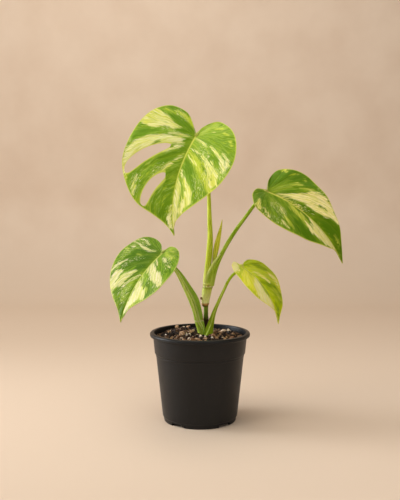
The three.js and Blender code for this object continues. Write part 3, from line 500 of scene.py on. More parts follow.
def add(tree, kind, inputs=None, **settings):
    """Adds a node and sets its properties. Each input gets a value, a node or socket to read, or
    the name of a mesh attribute to read."""
    node = tree.nodes.new(kind)
    for name, value in settings.items():
        setattr(node, name, value)
    for name, value in (inputs or {}).items():
        if isinstance(name, int):
            socket = node.inputs[name]
        else:
            socket = next(s for s in node.inputs if s.enabled and s.name == name)
        if isinstance(value, str):
            output = "Vector" if socket.type == "VECTOR" else "Fac"
            value = add(tree, "ShaderNodeAttribute", attribute_name=value).outputs[output]
        if isinstance(value, bpy.types.Node):
            value = next(s for s in value.outputs if s.enabled)
        if isinstance(value, bpy.types.NodeSocket):
            tree.links.new(value, socket)
        else:
            socket.default_value = value
    return node


def new_material(name):
    """An empty material, and its node tree."""
    material = bpy.data.materials.new(name)
    material.use_nodes = True
    material.node_tree.nodes.clear()
    return material, material.node_tree


def laid(tree, under, over, value, low, high, strength=1.0, step="SMOOTHSTEP"):
    """Lays one colour over another where a value goes from low to high, in a smooth step or a
    linear one, up to a strength."""
    mask = add(tree, "ShaderNodeMapRange", {
        "Value": value, "From Min": low, "From Max": high, "To Max": strength,
    }, interpolation_type=step)
    return add(tree, "ShaderNodeMix", {"Factor": mask, "A": under, "B": over}, data_type="RGBA")


def streaks(tree, place, cells, detail, seed=0, roughness=0.6):
    """Noise whose cells have these sizes along each axis, in the units of the place it reads."""
    stretched = add(tree, "ShaderNodeVectorMath", {0: place, 1: cells}, operation="DIVIDE")
    moved = add(tree, "ShaderNodeVectorMath", {0: stretched, 1: (seed, seed, seed)}, operation="ADD")
    return add(tree, "ShaderNodeTexNoise", {
        "Vector": moved, "Scale": 1, "Detail": detail, "Roughness": roughness,
    })


def finished(material, tree, inputs):
    """Ends a material in one principled shader with these inputs."""
    shader = add(tree, "ShaderNodeBsdfPrincipled", inputs)
    add(tree, "ShaderNodeOutputMaterial", {"Surface": shader})
    return material


def unit(vectors):
    """Each vector at length one."""
    return vectors / np.maximum(np.linalg.norm(vectors, axis=-1, keepdims=True), 1e-12)


def smooth_curve(points, count):
    """Centripetal Catmull-Rom curve through the points, as count places spread evenly over its
    spans. Each span is a cubic whose end slopes weigh the chords beside it by their square roots.
    Columns past the third, such as a radius, follow along."""
    p = np.asarray(points, float)
    p = np.vstack([2 * p[0] - p[1], p, 2 * p[-1] - p[-2]])
    where = np.linspace(0, len(points) - 1, count)
    span = np.minimum(where.astype(int), len(points) - 2)
    t = (where - span)[:, None]
    a, b, c, d = (p[span + k] for k in range(4))
    ab, bc, cd = (np.sqrt(np.linalg.norm((q - r)[:, :3], axis=1) + 1e-9)[:, None]
                  for q, r in ((b, a), (c, b), (d, c)))
    slope_b = ((b - a) / ab - (c - a) / (ab + bc) + (c - b) / bc) * bc
    slope_c = ((c - b) / bc - (d - b) / (bc + cd) + (d - c) / cd) * bc
    return ((2 * t**3 - 3 * t**2 + 1) * b + (t**3 - 2 * t**2 + t) * slope_b
            + (3 * t**2 - 2 * t**3) * c + (t**3 - t**2) * slope_c)


def grid_triangles(columns, rows):
    """Triangles of a grid of points numbered row by row in each column."""
    i, j = np.meshgrid(np.arange(columns - 1), np.arange(rows - 1), indexing="ij")
    a = (i * rows + j).ravel()
    b, c, d = a + 1, a + rows + 1, a + rows
    return np.concatenate([np.stack([a, b, c], 1), np.stack([a, c, d], 1)])


def welded(points, triangles):
    """Makes points that coincide one point, and drops triangles that lose their area by it.
    Returns the triangles, and the number of one old point for each new one."""
    cells = np.round(points / 1e-3).astype(np.int64)
    _, first, place = np.unique(cells, axis=0, return_index=True, return_inverse=True)
    triangles = place.reshape(-1)[triangles]
    a, b, c = triangles.T
    return triangles[(a != b) & (b != c) & (c != a)], first


def vertex_normals(points, triangles):
    """Each point's normal: the sum of its triangles' cross products, made one long."""
    a, b, c = (points[triangles[:, k]] for k in range(3))
    faces = np.cross(b - a, c - a)
    normals = np.zeros_like(points)
    for k in range(3):
        np.add.at(normals, triangles[:, k], faces)
    return unit(normals)


def shell(points, triangles, thickness):
    """Closes an open sheet: the sheet, its copy sunk along the normals by thickness with the
    triangles turned round, and two triangles on each edge that only one triangle of it has."""
    count = len(points)
    sunk = points - vertex_normals(points, triangles) * thickness[:, None]
    edges = np.concatenate([triangles[:, [0, 1]], triangles[:, [1, 2]], triangles[:, [2, 0]]])
    rim = edges[~np.isin(edges[:, 0] * count + edges[:, 1], edges[:, 1] * count + edges[:, 0])]
    a, b = rim.T
    walls = [np.stack([a, a + count, b + count], 1), np.stack([a, b + count, b], 1)]
    return np.vstack([points, sunk]), np.concatenate([triangles, triangles[:, ::-1] + count, *walls])


def both_faces(attributes):
    """A sheet's attributes, once more for its sunk copy."""
    return {key: np.concatenate([values, values]) for key, values in attributes.items()}


def piece(name, points, triangles, material, nodes=(), attributes=None, sharp=45):
    """Makes a mesh piece in metres, with its attributes, that rides on the root body. Edges that
    turn more than sharp degrees stay crisp."""
    mesh = bpy.data.meshes.new(name)
    mesh.vertices.add(len(points))
    mesh.vertices.foreach_set("co", (np.asarray(points) * MM).astype(np.float32).ravel())
    mesh.loops.add(len(triangles) * 3)
    mesh.loops.foreach_set("vertex_index", np.asarray(triangles, np.int32).ravel())
    mesh.polygons.add(len(triangles))
    mesh.polygons.foreach_set("loop_start", np.arange(len(triangles), dtype=np.int32) * 3)
    mesh.update(calc_edges=True)
    mesh.polygons.foreach_set("use_smooth", np.ones(len(triangles), bool))
    mesh.set_sharp_from_angle(angle=np.radians(sharp))
    for key, values in (attributes or {}).items():
        values = np.asarray(values, np.float32)
        kind, field = ("FLOAT", "value") if values.ndim == 1 else ("FLOAT_VECTOR", "vector")
        mesh.attributes.new(key, kind, "POINT").data.foreach_set(field, values.ravel())
    mesh.materials.append(material)
    made = bpy.data.objects.new(name, mesh)
    bpy.context.scene.collection.objects.link(made)
    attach(made, "root")
    if nodes:
        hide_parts(*nodes)
    return made


def blade_point(leaf, v, u, rise):
    """Bends flat places into space. The midrib is one arc towards the tip and another behind the
    junction, and the tip is swept sideways by the cube of its share of the length. Away from the
    midrib each half starts upwards at its fold and curls down as an arc. Rise lifts off the face."""
    heading, pitch, roll = (np.radians(leaf[k]) for k in ("heading", "pitch", "roll"))
    flat = np.array([np.cos(heading), np.sin(heading), 0])
    upward = np.array([0, 0, 1])
    along = flat * np.cos(pitch) - upward * np.sin(pitch)
    level = flat * np.sin(pitch) + upward * np.cos(pitch)
    across = np.cross(along, level)
    up = level * np.cos(roll) + across * np.sin(roll)
    right = across * np.cos(roll) - level * np.sin(roll)
    length = leaf["length"]
    bend = np.radians(np.where(v > 0, leaf["droop"], leaf["lobe_lift"])) / length
    angle = bend * v
    sweep = leaf["sweep"] * np.maximum(0, v / length) ** 3
    middle = (np.array(leaf["junction"]) + (np.sin(angle) / bend)[..., None] * along
              - ((1 - np.cos(angle)) / bend)[..., None] * up + sweep[..., None] * right)
    face = up * np.cos(angle)[..., None] + along * np.sin(angle)[..., None]
    fold = -np.radians(np.where(u > 0, leaf["fold"][1], leaf["fold"][-1]))
    curl = np.radians(np.where(u > 0, leaf["curl"][1], leaf["curl"][-1])) / (length / 2)
    slope = fold + curl * np.abs(u)
    out = (np.sin(slope) - np.sin(fold)) / curl
    drop = (np.cos(fold) - np.cos(slope)) / curl
    return middle + (np.sign(u) * out)[..., None] * right + (rise - drop)[..., None] * face


def vein_places(leaf, side, along, outward):
    """Flat places on the veins of one half, with along the share of the margin where a vein ends
    and outward the share of the way to it. Veins of the first stretch all start at the junction,
    later ones further down the midrib, and they bow towards the tip as a half sine."""
    margin = smooth_curve(leaf["outline"][side], 800)
    share = np.concatenate([[0], np.cumsum(np.linalg.norm(np.diff(margin, axis=0), axis=1))])
    margin_length = share[-1]
    end_v, end_u = (np.interp(along, share / margin_length, margin[:, k]) for k in (0, 1))
    late = np.maximum(0, along - BLADE["vein_start"]) / (1 - BLADE["vein_start"])
    start = leaf["length"] * late ** BLADE["vein_spread"]
    bow = BLADE["vein_bow"] * late * np.sin(np.pi * outward)
    v = start + (end_v - start) * outward - bow * end_u
    u = end_u * outward + bow * (end_v - start)
    return v, side * u, np.hypot(end_v - start, end_u), margin_length


def relief(leaf, along, outward, v, u, margin_length):
    """How far the blade stands off its smooth face (mm), and how near a place is to a vein. Four
    ripples grow towards the margin. Each stretch between two veins is a half-sine pillow a few
    hundredths of its width high, each vein lies in a bell-shaped groove, and the midrib is a rib
    in a wider groove. Crossed sines make it uneven."""
    phase = along * leaf["veins"] + 0.5
    between = phase - np.floor(phase)
    spacing = margin_length / leaf["veins"] * outward
    distance = np.minimum(between, 1 - between) * spacing
    inside = np.sin(np.pi * np.clip(outward, 0, 1)) ** 0.5
    height = BLADE["ripple"] * (leaf["length"] / BLADE["ripple_length"]) ** 2
    ripple = height * outward**2 * np.sin(2 * np.pi * BLADE["ripples"] * along)
    pillow = 0.035 * spacing * (np.sin(np.pi * between) ** 0.8 - 0.6) * inside
    groove = 0.2 * np.exp(-((distance / 0.8) ** 2)) * (1 - outward) ** 0.5
    rib_width = 0.6 + 1.5 * np.clip(1 - v / leaf["length"], 0, 1)
    rib = np.exp(-((u / (0.45 * rib_width)) ** 2)) * 0.5 - np.exp(-((u / rib_width) ** 2)) * 0.8
    uneven = 0.12 * np.sin(0.41 * v + 1.7 * np.sin(0.23 * u)) * np.sin(0.37 * u + 0.9) * inside
    nearness = np.exp(-((distance / 0.55) ** 2)) * (1 - outward) ** 0.4
    return ripple + pillow - groove + rib * np.exp(-outward * 3) + uneven - BLADE["sunk"], nearness


def marking_depth(v, u, chain):
    """How far inside a marking each place lies (mm). A marking is a chain of discs whose radii
    change evenly from one to the next: the depth is the largest radius less distance along it.
    It keeps to its own side of the midrib."""
    depth = np.full(v.shape, -KIND_REACH)
    for (v0, u0, w0), (v1, u1, w1) in zip(chain[:-1], chain[1:]):
        share = ((v - v0) * (v1 - v0) + (u - u0) * (u1 - u0)) / ((v1 - v0) ** 2 + (u1 - u0) ** 2)
        share = np.clip(share, 0, 1)
        away = np.hypot(v - v0 - share * (v1 - v0), u - u0 - share * (u1 - u0))
        depth = np.maximum(depth, w0 + share * (w1 - w0) - away)
    return np.where(u * chain[0][1] >= 0, depth, -KIND_REACH)


def markings(name, v, u):
    """The depth of every place in each kind of marking, later markings over earlier ones."""
    depths = {kind: np.full(v.shape, -KIND_REACH) for kind in KINDS}
    for kind, *chain in MARKINGS[name]:
        depth = marking_depth(v, u, chain)
        if kind in ("green", "shade"):
            for painted in CLEARED:
                depths[painted] = np.minimum(depths[painted], -depth)
        if kind != "green":
            painted = "dark" if kind == "shade" else kind
            depths[painted] = np.maximum(depths[painted], depth)
    return {kind: np.clip(depth, -KIND_REACH, KIND_REACH) for kind, depth in depths.items()}


def blade(name, material):
    """A leaf blade: for each half and each stretch between slits, a grid of columns along the
    veins and rows across them, bent into space with its relief, welded and given a thickness
    that swells below the midrib and the veins and thins towards the margin."""
    leaf = BLADES[name]
    slit_rows = np.array(BLADE["slit_rows"])
    outward = np.unique(np.concatenate([
        np.linspace(0, 1, BLADE["rows"] + 1),
        BLADE["slit_start"] + slit_rows,
        BLADE["slit_end"] - slit_rows,
    ]))
    parts, triangles, count = [], [], 0
    for side in (1, -1):
        cuts = [(0, 0), *leaf["slits"], (1, 0)]
        for (start, start_open), (end, end_open) in zip(cuts[:-1], cuts[1:]):
            share = (outward - BLADE["slit_start"]) / (BLADE["slit_end"] - BLADE["slit_start"])
            share = np.where(side > 0, np.clip(share, 0, 1), 0)
            opening = (4 * share * (1 - share)) ** BLADE["slit_bluntness"]
            low, high = start + start_open * opening, end - end_open * opening
            columns = max(8, round((end - start) * BLADE["columns"])) + 1
            along = low + (high - low) * np.linspace(0, 1, columns)[:, None]
            out = np.broadcast_to(outward, along.shape)
            v, u, vein_length, margin_length = vein_places(leaf, side, along, out)
            rise, nearness = relief(leaf, along, out, v, u, margin_length)
            apart = np.full(v.shape, float(side * BLADE["halves_apart"]))
            grain = np.stack([along * margin_length, out * vein_length, apart], -1)
            inward = (1 - out) * vein_length
            for edge, size in ((low, start_open), (high, end_open)):
                beside = np.abs(along - edge) * margin_length * out
                inward = np.where(size * opening > 0, np.minimum(inward, beside), inward)
            trimmed_u = np.where(u == 0, side * 1e-9, u * BLADE["trim"])
            place = blade_point(leaf, v * BLADE["trim"], trimmed_u, rise)
            flat = np.stack([v, u, nearness, inward], -1)
            parts.append(np.concatenate([place, grain, flat], -1).reshape(-1, 10))
            made = grid_triangles(columns, len(outward)) + count
            triangles.append(made if side > 0 else made[:, ::-1])
            count += v.size
    rows = np.concatenate(parts)
    triangles, kept = welded(rows[:, :3], np.concatenate(triangles))
    rows = rows[kept]
    v, u, nearness, inward = rows[:, 6:].T
    left = np.clip(1 - v / leaf["length"], 0, 1)
    ridge = BLADE["midrib_height"] * left * np.exp(-((u / BLADE["midrib_width"]) ** 2))
    edge = np.exp(-inward / BLADE["edge_reach"])
    thickness = BLADE["thickness"] + (BLADE["edge_thickness"] - BLADE["thickness"]) * edge
    thickness = thickness + ridge + BLADE["vein_height"] * nearness
    points, triangles = shell(rows[:, :3], triangles, thickness)
    attributes = markings(name, v, u)
    attributes.update(rib=np.abs(u) / (0.35 + 0.8 * left), vein=nearness,
                      inward=np.minimum(inward, NO_RIM), grain=rows[:, 3:6])
    attributes = both_faces(attributes)
    attributes["under"] = np.repeat([0.0, 1.0], len(rows))
    return piece("leaf_" + name, points, triangles, material, ["blade_" + name],
                 attributes, 60)


def leaf_material(name):
    """Variegated monstera leaf: a thin waxy cuticle over marbled tissue, so it shines softly and
    lets a little light through. The green is marbled with lime and with deeper threads, the
    markings break along the veins into fibrous streaks, and fine flecks lie among them. Veins,
    midrib and margin are paler, and so is the back."""
    material, tree = new_material("monstera_leaf_" + name)
    colours = {kind: linear(code) for kind, code in LEAF_COLOURS[name].items()}
    bends = add(tree, "ShaderNodeTexNoise", {"Vector": "grain", "Scale": 0.07, "Detail": 2})
    bent = add(tree, "ShaderNodeVectorMath", {0: bends.outputs["Color"], 1: (9, 0, 0)},
               operation="MULTIPLY")
    wavy = add(tree, "ShaderNodeVectorMath", {0: "grain", 1: bent}, operation="ADD")

    def fibres(cells, detail, seed):
        """Noise whose cells are this many mm across and along the veins."""
        return streaks(tree, wavy, (*cells, 1), detail, seed)

    colour = colours["base"]
    for over, cells, detail, seed, between, strength in GREENS:
        noise = fibres(cells, detail, seed)
        colour = laid(tree, colour, colours[over], noise, *between, strength)

    ragged = -0.5
    for cells, seed, share in RAGGED:
        ragged = add(tree, "ShaderNodeMath", {0: fibres(cells, 2, seed), 1: share, 2: ragged},
                     operation="MULTIPLY_ADD")
    for kind, look in KIND_LOOKS.items():
        depth = add(tree, "ShaderNodeMath", {0: ragged, 1: look["ragged"], 2: kind},
                    operation="MULTIPLY_ADD")
        threads = add(tree, "ShaderNodeMapRange", {
            "Value": fibres((1, 15), 2, look["seed"]), "From Min": 0.52, "From Max": 0.6,
            "To Min": look["strength"], "To Max": look["strength"] - look["threaded"],
        }, interpolation_type="SMOOTHSTEP")
        drift = fibres((2.2, 24), 2, look["seed"] + 2)
        tone = laid(tree, colours[kind], colours[look["drift"]], drift, 0.42, 0.58, 0.75)
        colour = laid(tree, colour, tone, depth, -look["soft"], look["soft"], threads)

    limit = add(tree, "ShaderNodeMapRange", {
        "Value": "fleck", "From Min": -3, "From Max": 3,
        "To Min": FLECK_LIMITS["outside"], "To Max": FLECK_LIMITS["inside"],
    }, interpolation_type="SMOOTHSTEP")
    for over, cells, detail, seed, between, strength in FLECKS:
        noise = fibres(cells, detail, seed)
        past = add(tree, "ShaderNodeMath", {0: noise, 1: limit}, operation="SUBTRACT")
        colour = laid(tree, colour, colours[over], past, *between, strength)

    colour = laid(tree, colour, colours["lime"], "vein", 0, 1, 0.2, "LINEAR")
    colour = laid(tree, colour, colours["yellow"], "rib", 1.15, 0.5, 0.8)
    colour = laid(tree, colour, colours["yellow"], "inward", 1.4, 0.5, 0.75)
    colour = laid(tree, colour, linear(LEAF_BACK), "under", 0, 1, 0.35, "LINEAR")

    fine = streaks(tree, "grain", (0.45, 0.45, 1), 2, roughness=0.5)
    net_cells = add(tree, "ShaderNodeVectorMath", {0: "grain", 1: (2.6, 4.2, 1)}, operation="DIVIDE")
    net = add(tree, "ShaderNodeTexVoronoi", {"Vector": net_cells, "Scale": 1},
              feature="DISTANCE_TO_EDGE")
    netted = add(tree, "ShaderNodeMapRange", {"Value": net, "From Min": 0, "From Max": 0.16},
                 interpolation_type="SMOOTHSTEP")
    height = add(tree, "ShaderNodeMath", {0: fine, 1: 0.25, 2: netted}, operation="MULTIPLY_ADD")
    bump = add(tree, "ShaderNodeBump", {"Height": height, "Strength": 0.35, "Distance": 0.00006})
    duller = add(tree, "ShaderNodeMath", {0: "under", 1: 0.2, 2: 0.4}, operation="MULTIPLY_ADD")
    roughness = add(tree, "ShaderNodeMath", {0: fine, 1: 0.12, 2: duller}, operation="MULTIPLY_ADD")
    return finished(material, tree, {
        "Base Color": colour, "Roughness": roughness, "Normal": bump, "IOR": 1.42,
        "Specular IOR Level": 0.22, "Specular Tint": linear("#e8f2a0"),
        "Subsurface Weight": 0.1, "Subsurface Radius": (0.8, 1.0, 0.3), "Subsurface Scale": 0.0015,
    })


def stalk_mesh(facing, rows, steps, end_plane=None, rolls=0):
    """A stalk: its section carried along a smooth path with the channel turned to facing. A
    section is an arc of the round back and a parabola across the channel, averaged a little with
    its neighbours so that the rims are round. Rolls is the share of the channel's depth by which
    each half of its floor swells, as a parabola. Both ends close to a point in their middle.
    Points past end_plane, a place and its normal, are pressed back onto it. Returns points,
    triangles, and each point's place round, along, away from the nearest rim and away from the
    first one (mm), and across the channel: 0 in its middle, 1 at its rims, 1.5 on the back."""
    path = smooth_curve(rows, steps)
    centre, (radius, wrap, groove) = path[:, :3], path[:, 3:].T[..., None]
    along = unit(np.gradient(centre, axis=0))
    facing = np.array(facing, float)
    up = unit(facing - (along @ facing)[:, None] * along)
    side = np.cross(up, along)
    back, channel = 30, 16
    angle = np.radians(wrap) * np.linspace(-1, 1, back + 1)
    arc = np.stack([radius * np.sin(angle), -radius * np.cos(angle)], -1)
    share = 1 - 2 * np.arange(1, channel)[None, :] / channel
    rim = arc[:, -1]
    dip = 1 - share**2 - rolls * 4 * np.abs(share) * (1 - np.abs(share))
    floor = np.stack([rim[:, :1] * share, rim[:, 1:] - groove * radius * dip], -1)
    section = np.concatenate([arc, floor], 1)
    for _ in range(2):
        section = (np.roll(section, 1, 1) + 2 * section + np.roll(section, -1, 1)) / 4
    points = (centre[:, None] + section[..., :1] * side[:, None] + section[..., 1:] * up[:, None])
    if end_plane is not None:
        place, normal = end_plane
        past = np.maximum(0, (points - place) @ normal)
        points = points - past[..., None] * normal
    count = points.shape[1]
    triangles = grid_triangles(steps, count + 1)
    column, row = np.divmod(triangles, count + 1)
    triangles = (column * count + row % count)[:, ::-1]
    ends = points[[0, -1]].mean(1)
    ring = np.arange(count)
    after = (ring + 1) % count
    first, last = steps * count, steps * count + 1
    base = (steps - 1) * count
    caps = [np.stack([np.full(count, first), after, ring], 1),
            np.stack([np.full(count, last), base + ring, base + after], 1)]
    edge_steps = np.linalg.norm(np.roll(section, -1, 1) - section, axis=-1)
    around = np.cumsum(edge_steps, 1) - edge_steps
    travelled = np.concatenate([[0], np.cumsum(np.linalg.norm(np.diff(centre, axis=0), axis=1))])
    rim_first, rim_last = around[:, :1], around[:, back:back + 1]
    total = edge_steps.sum(1, keepdims=True)
    first_rim = np.minimum(around - rim_first, total - around)
    near_rim = np.where(wrap < OPEN_WRAP, np.minimum(first_rim, np.abs(around - rim_last)), NO_RIM)
    travelled = np.broadcast_to(travelled[:, None], around.shape)
    across = np.concatenate([[1], np.full(back - 1, 1.5), [1], np.abs(share[0])])
    across = np.broadcast_to(across, around.shape)
    data = np.stack([around, travelled, near_rim, first_rim, across], -1).reshape(-1, 5)
    data = np.vstack([data, data[[0, -1]]])
    return np.vstack([points.reshape(-1, 3), ends]), np.concatenate([triangles, *caps]), data


def stalk_attributes(data, seed):
    """Streak places, and the places along, from the rims and across, as mesh attributes."""
    around, along, near_rim, first_rim, across = data.T
    angle = around / max(around.max(), 1e-6) * 2 * np.pi
    radius = around.max() / (2 * np.pi)
    streak = np.stack([radius * np.cos(angle), radius * np.sin(angle), along], 1) + seed
    return {"streak": streak, "rim": near_rim, "first_rim": first_rim, "along": along,
            "across": across}


def stalk_material(name):
    """Living monstera stalk: a smooth waxy skin with fine lengthwise streaks of light and deep
    green, paler along the rims of its channel, and of the base colour in its lowest stretch. The
    inside colour lies on the channel's floor, out to crease of the way to its rims; on the lower
    right stalk it is partly painted light, the floor that faces the lamps laid paler than the back.
    The far colour is painted shade: it darkens the channel's floor beside the first rim, as if that
    strand lay in shadow. The edge colour is that rim's dry line. A scar (mm up) is a pale ring,
    with the torn tan end of the sheath above it."""
    skin = STALK_SKINS[name]
    colours = {key: linear(code) for key, code in skin.items() if isinstance(code, str)}
    material, tree = new_material("stalk_skin_" + name)
    lines = streaks(tree, "streak", (0.7, 0.7, 16), 3)
    spots = streaks(tree, "streak", (0.8, 0.8, 2.2), 2)
    colour = laid(tree, colours["deep"], colours["light"], lines, 0.38, 0.64)
    colour = laid(tree, colour, colours["rim"], spots, 0.6, 0.7, 0.35)
    colour = laid(tree, colour, colours["base"], "along", 24, 2, 0.7)
    colour = laid(tree, colour, colours["rim"], "rim", skin.get("rim_width", 1.3), 0.2, 0.6)
    # Painted shade: the far colour darkens the channel's floor beside the first rim, as if that strand
    # lay in shadow.
    if "far" in skin:
        on_floor = add(tree, "ShaderNodeMapRange", {
            "Value": "across", "From Min": 1.1, "From Max": 0.9, "To Max": 0.65,
        }, interpolation_type="SMOOTHSTEP")
        colour = laid(tree, colour, colours["far"], "first_rim", 7.2, 4.6, on_floor)
    # On the lower right stalk this is partly painted light: the channel's floor, which faces the lamps,
    # is laid paler than the back.
    if "inside" in skin:
        crease = skin["crease"]
        colour = laid(tree, colour, colours["inside"], "across", crease + 0.15, crease - 0.15, 0.7)
    if "edge" in skin:
        colour = laid(tree, colour, colours["edge"], "first_rim", 1.2, 0.4, 0.7)
    if "scar" in skin:
        place = add(tree, "ShaderNodeTexCoord").outputs["Object"]
        height = add(tree, "ShaderNodeSeparateXYZ", {0: place}).outputs["Z"]
        wavy = add(tree, "ShaderNodeMath", {0: lines, 1: 0.004, 2: height}, operation="MULTIPLY_ADD")
        above = add(tree, "ShaderNodeMath", {0: wavy, 1: 1000, 2: -2 - skin["scar"]},
                    operation="MULTIPLY_ADD")
        slanted = add(tree, "ShaderNodeMath", {0: above, 1: 0.3, 2: "first_rim"},
                      operation="MULTIPLY_ADD")
        upper = add(tree, "ShaderNodeMapRange", {
            "Value": above, "From Min": -0.3, "From Max": 0.3, "To Max": 0.8,
        }, interpolation_type="SMOOTHSTEP")
        colour = laid(tree, colour, linear(TORN_SHEATH), slanted, 3.4, 2.4, upper)
        away = add(tree, "ShaderNodeMath", {0: above}, operation="ABSOLUTE")
        colour = laid(tree, colour, linear(SCAR_RING), away, 1.1, 0.3, 0.75)
    bump = add(tree, "ShaderNodeBump", {"Height": lines, "Strength": 0.5, "Distance": 0.0001})
    return finished(material, tree, {
        "Base Color": colour, "Roughness": 0.38, "Normal": bump, "IOR": 1.45,
        "Specular IOR Level": 0.2, "Specular Tint": linear("#eef5b0"),
        "Subsurface Weight": 0.15, "Subsurface Radius": (0.8, 1.0, 0.3), "Subsurface Scale": 0.002,
    })


def petioles():
    """The four leaf stalks, each led up to the underside of its blade."""
    for seed, (name, petiole) in enumerate(PETIOLES.items()):
        leaf = BLADES[name]
        inset = np.array(BLADE["junction_inset"], float)
        end, above = (blade_point(leaf, inset, np.array(1e-9), np.array(BLADE[key]))
                      for key in ("stalk_end", "stalk_above"))
        rows = [*petiole["rows"], (*end, *petiole["rows"][-1][3:])]
        points, triangles, data = stalk_mesh(petiole["facing"], rows, 150, (end, above - end),
                                             petiole.get("rolls", 0))
        piece("stalk_" + name, points, triangles, stalk_material(name),
              ["petiole_" + name], stalk_attributes(data, 20.0 * seed))


def sheath():
    """The thin wing of the right petiole's sheath, which crosses the front of the top petiole: a
    ruled sheet between its root line and its free edge, bowed forwards as a parabola. Its streaks
    run upwards, and the free edge is its rim."""
    columns, rows = 60, 13
    root, edge = (smooth_curve(SHEATH[key], columns) for key in ("root", "edge"))
    share = np.linspace(0, 1, rows)[None, :, None]
    place = root[:, None] * (1 - share) + edge[:, None] * share
    place = place - 4 * share * (1 - share) * np.array([0, SHEATH["bow"], 0])
    points, triangles = shell(place.reshape(-1, 3), grid_triangles(columns, rows),
                              np.full(columns * rows, SHEATH["thickness"]))
    sideways = place[..., 0].ravel() + 30
    climbed = np.broadcast_to(root[:, None, 2] - root[0, 2] + 12, place.shape[:2]).ravel()
    from_edge = np.linalg.norm(place - edge[:, None], axis=-1).ravel()
    streak = np.stack([sideways, 0.3 * sideways, climbed], 1)
    attributes = both_faces({"streak": streak, "rim": from_edge, "along": climbed})
    piece("petiole_sheath", points, triangles, stalk_material("sheath"), (), attributes)


def new_leaf():
    """The next leaf, rolled into a spike."""
    points, triangles, data = stalk_mesh(NEW_LEAF["facing"], NEW_LEAF["rows"], 90)
    piece("rolled_leaf", points, triangles, stalk_material("spike"), ["new_leaf"],
          stalk_attributes(data, 90.0))


def stem_material():
    """Climbing stem: green skin with ring scars, bleached and streaked on the top joint, brown
    below, with rusty specks at the upper rings."""
    material, tree = new_material("stem_skin")
    place = add(tree, "ShaderNodeTexCoord").outputs["Object"]
    lines = streaks(tree, place, (0.0008, 0.0008, 0.012), 3)
    height = add(tree, "ShaderNodeSeparateXYZ", {0: place}).outputs["Z"]
    wobble = add(tree, "ShaderNodeMath", {0: lines, 1: 0.0016, 2: height}, operation="MULTIPLY_ADD")
    low, high = STEM_COLOURS[0][0], STEM_COLOURS[-1][0]
    share = add(tree, "ShaderNodeMapRange", {
        "Value": wobble, "From Min": low * MM, "From Max": high * MM,
    })
    ramp = add(tree, "ShaderNodeValToRGB", {0: share})
    elements = ramp.color_ramp.elements
    for i, (at, code) in enumerate(STEM_COLOURS):
        element = elements[0] if i == 0 else elements.new((at - low) / (high - low))
        element.color = linear(code)
    elements.remove(elements[len(elements) - 1])
    dark = add(tree, "ShaderNodeMapRange", {
        "Value": lines, "From Min": 0.38, "From Max": 0.64, "To Min": 0.78, "To Max": 1.12,
    })
    colour = add(tree, "ShaderNodeVectorMath", {0: ramp, "Scale": dark}, operation="SCALE")
    grains = add(tree, "ShaderNodeTexNoise", {"Vector": place, "Scale": 700, "Detail": 1})
    above = add(tree, "ShaderNodeMath", {0: height, 1: RUST_HEIGHT * MM}, operation="SUBTRACT")
    away = add(tree, "ShaderNodeMath", {0: above}, operation="ABSOLUTE")
    near = add(tree, "ShaderNodeMapRange", {
        "Value": away, "From Min": 0.0032, "From Max": 0.0018, "To Max": 0.6,
    }, interpolation_type="SMOOTHSTEP")
    colour = laid(tree, colour, linear("#b0663c"), grains, 0.56, 0.64, near)
    bump = add(tree, "ShaderNodeBump", {"Height": lines, "Strength": 0.6, "Distance": 0.0002})
    return finished(material, tree, {
        "Base Color": colour, "Roughness": 0.42, "Normal": bump, "IOR": 1.45,
        "Specular IOR Level": 0.35, "Specular Tint": linear("#eef5b0"),
        "Subsurface Weight": 0.1, "Subsurface Radius": (0.8, 1.0, 0.3), "Subsurface Scale": 0.002,
    })


def main_stem():
    """The stem: a stalk with bell-shaped rings at its scars, and a root nub, a ball."""
    rows = [(*row, 165, 0.1) for row in STEM]
    points, triangles, _ = stalk_mesh((0, 1, 0), rows, 260)
    middle = smooth_curve(STEM, 600)
    x, y = (np.interp(points[:, 2], middle[:, 2], middle[:, k]) for k in (0, 1))
    rings = sum(size * np.exp(-(((points[:, 2] - height) / width) ** 2))
                for height, size, width in STEM_RINGS)
    points[:, 0] = x + (points[:, 0] - x) * (1 + rings / 5)
    points[:, 1] = y + (points[:, 1] - y) * (1 + rings / 5)
    piece("climbing_stem", points, triangles, stem_material(), ["main_stem"])
    columns, rows = 25, 15
    turn, rise = np.meshgrid(np.linspace(0, 2 * np.pi, columns), np.linspace(-np.pi / 2, np.pi / 2, rows),
                             indexing="ij")
    ball = np.stack([np.cos(turn) * np.cos(rise), np.sin(turn) * np.cos(rise), np.sin(rise)], -1)
    ball = ball.reshape(-1, 3) * ROOT_NUB["radius"] + np.array(ROOT_NUB["at"])
    nub_triangles, kept = welded(ball, grid_triangles(columns, rows)[:, ::-1])
    skin = husk_material("root_nub_skin", "#86643e", "#b89e6c")
    piece("root_nub", ball[kept], nub_triangles, skin)


def husk_material(name, dark, light):
    """Dry plant fibre: dull, brown to straw, in lengthwise threads."""
    material, tree = new_material(name)
    place = add(tree, "ShaderNodeTexCoord").outputs["Object"]
    lines = streaks(tree, place, (0.0006, 0.0006, 0.005), 4, roughness=0.7)
    colour = laid(tree, linear(dark), linear(light), lines, 0.4, 0.75, step="LINEAR")
    bump = add(tree, "ShaderNodeBump", {"Height": lines, "Strength": 0.8, "Distance": 0.0003})
    return finished(material, tree, {"Base Color": colour, "Roughness": 0.85, "Normal": bump})


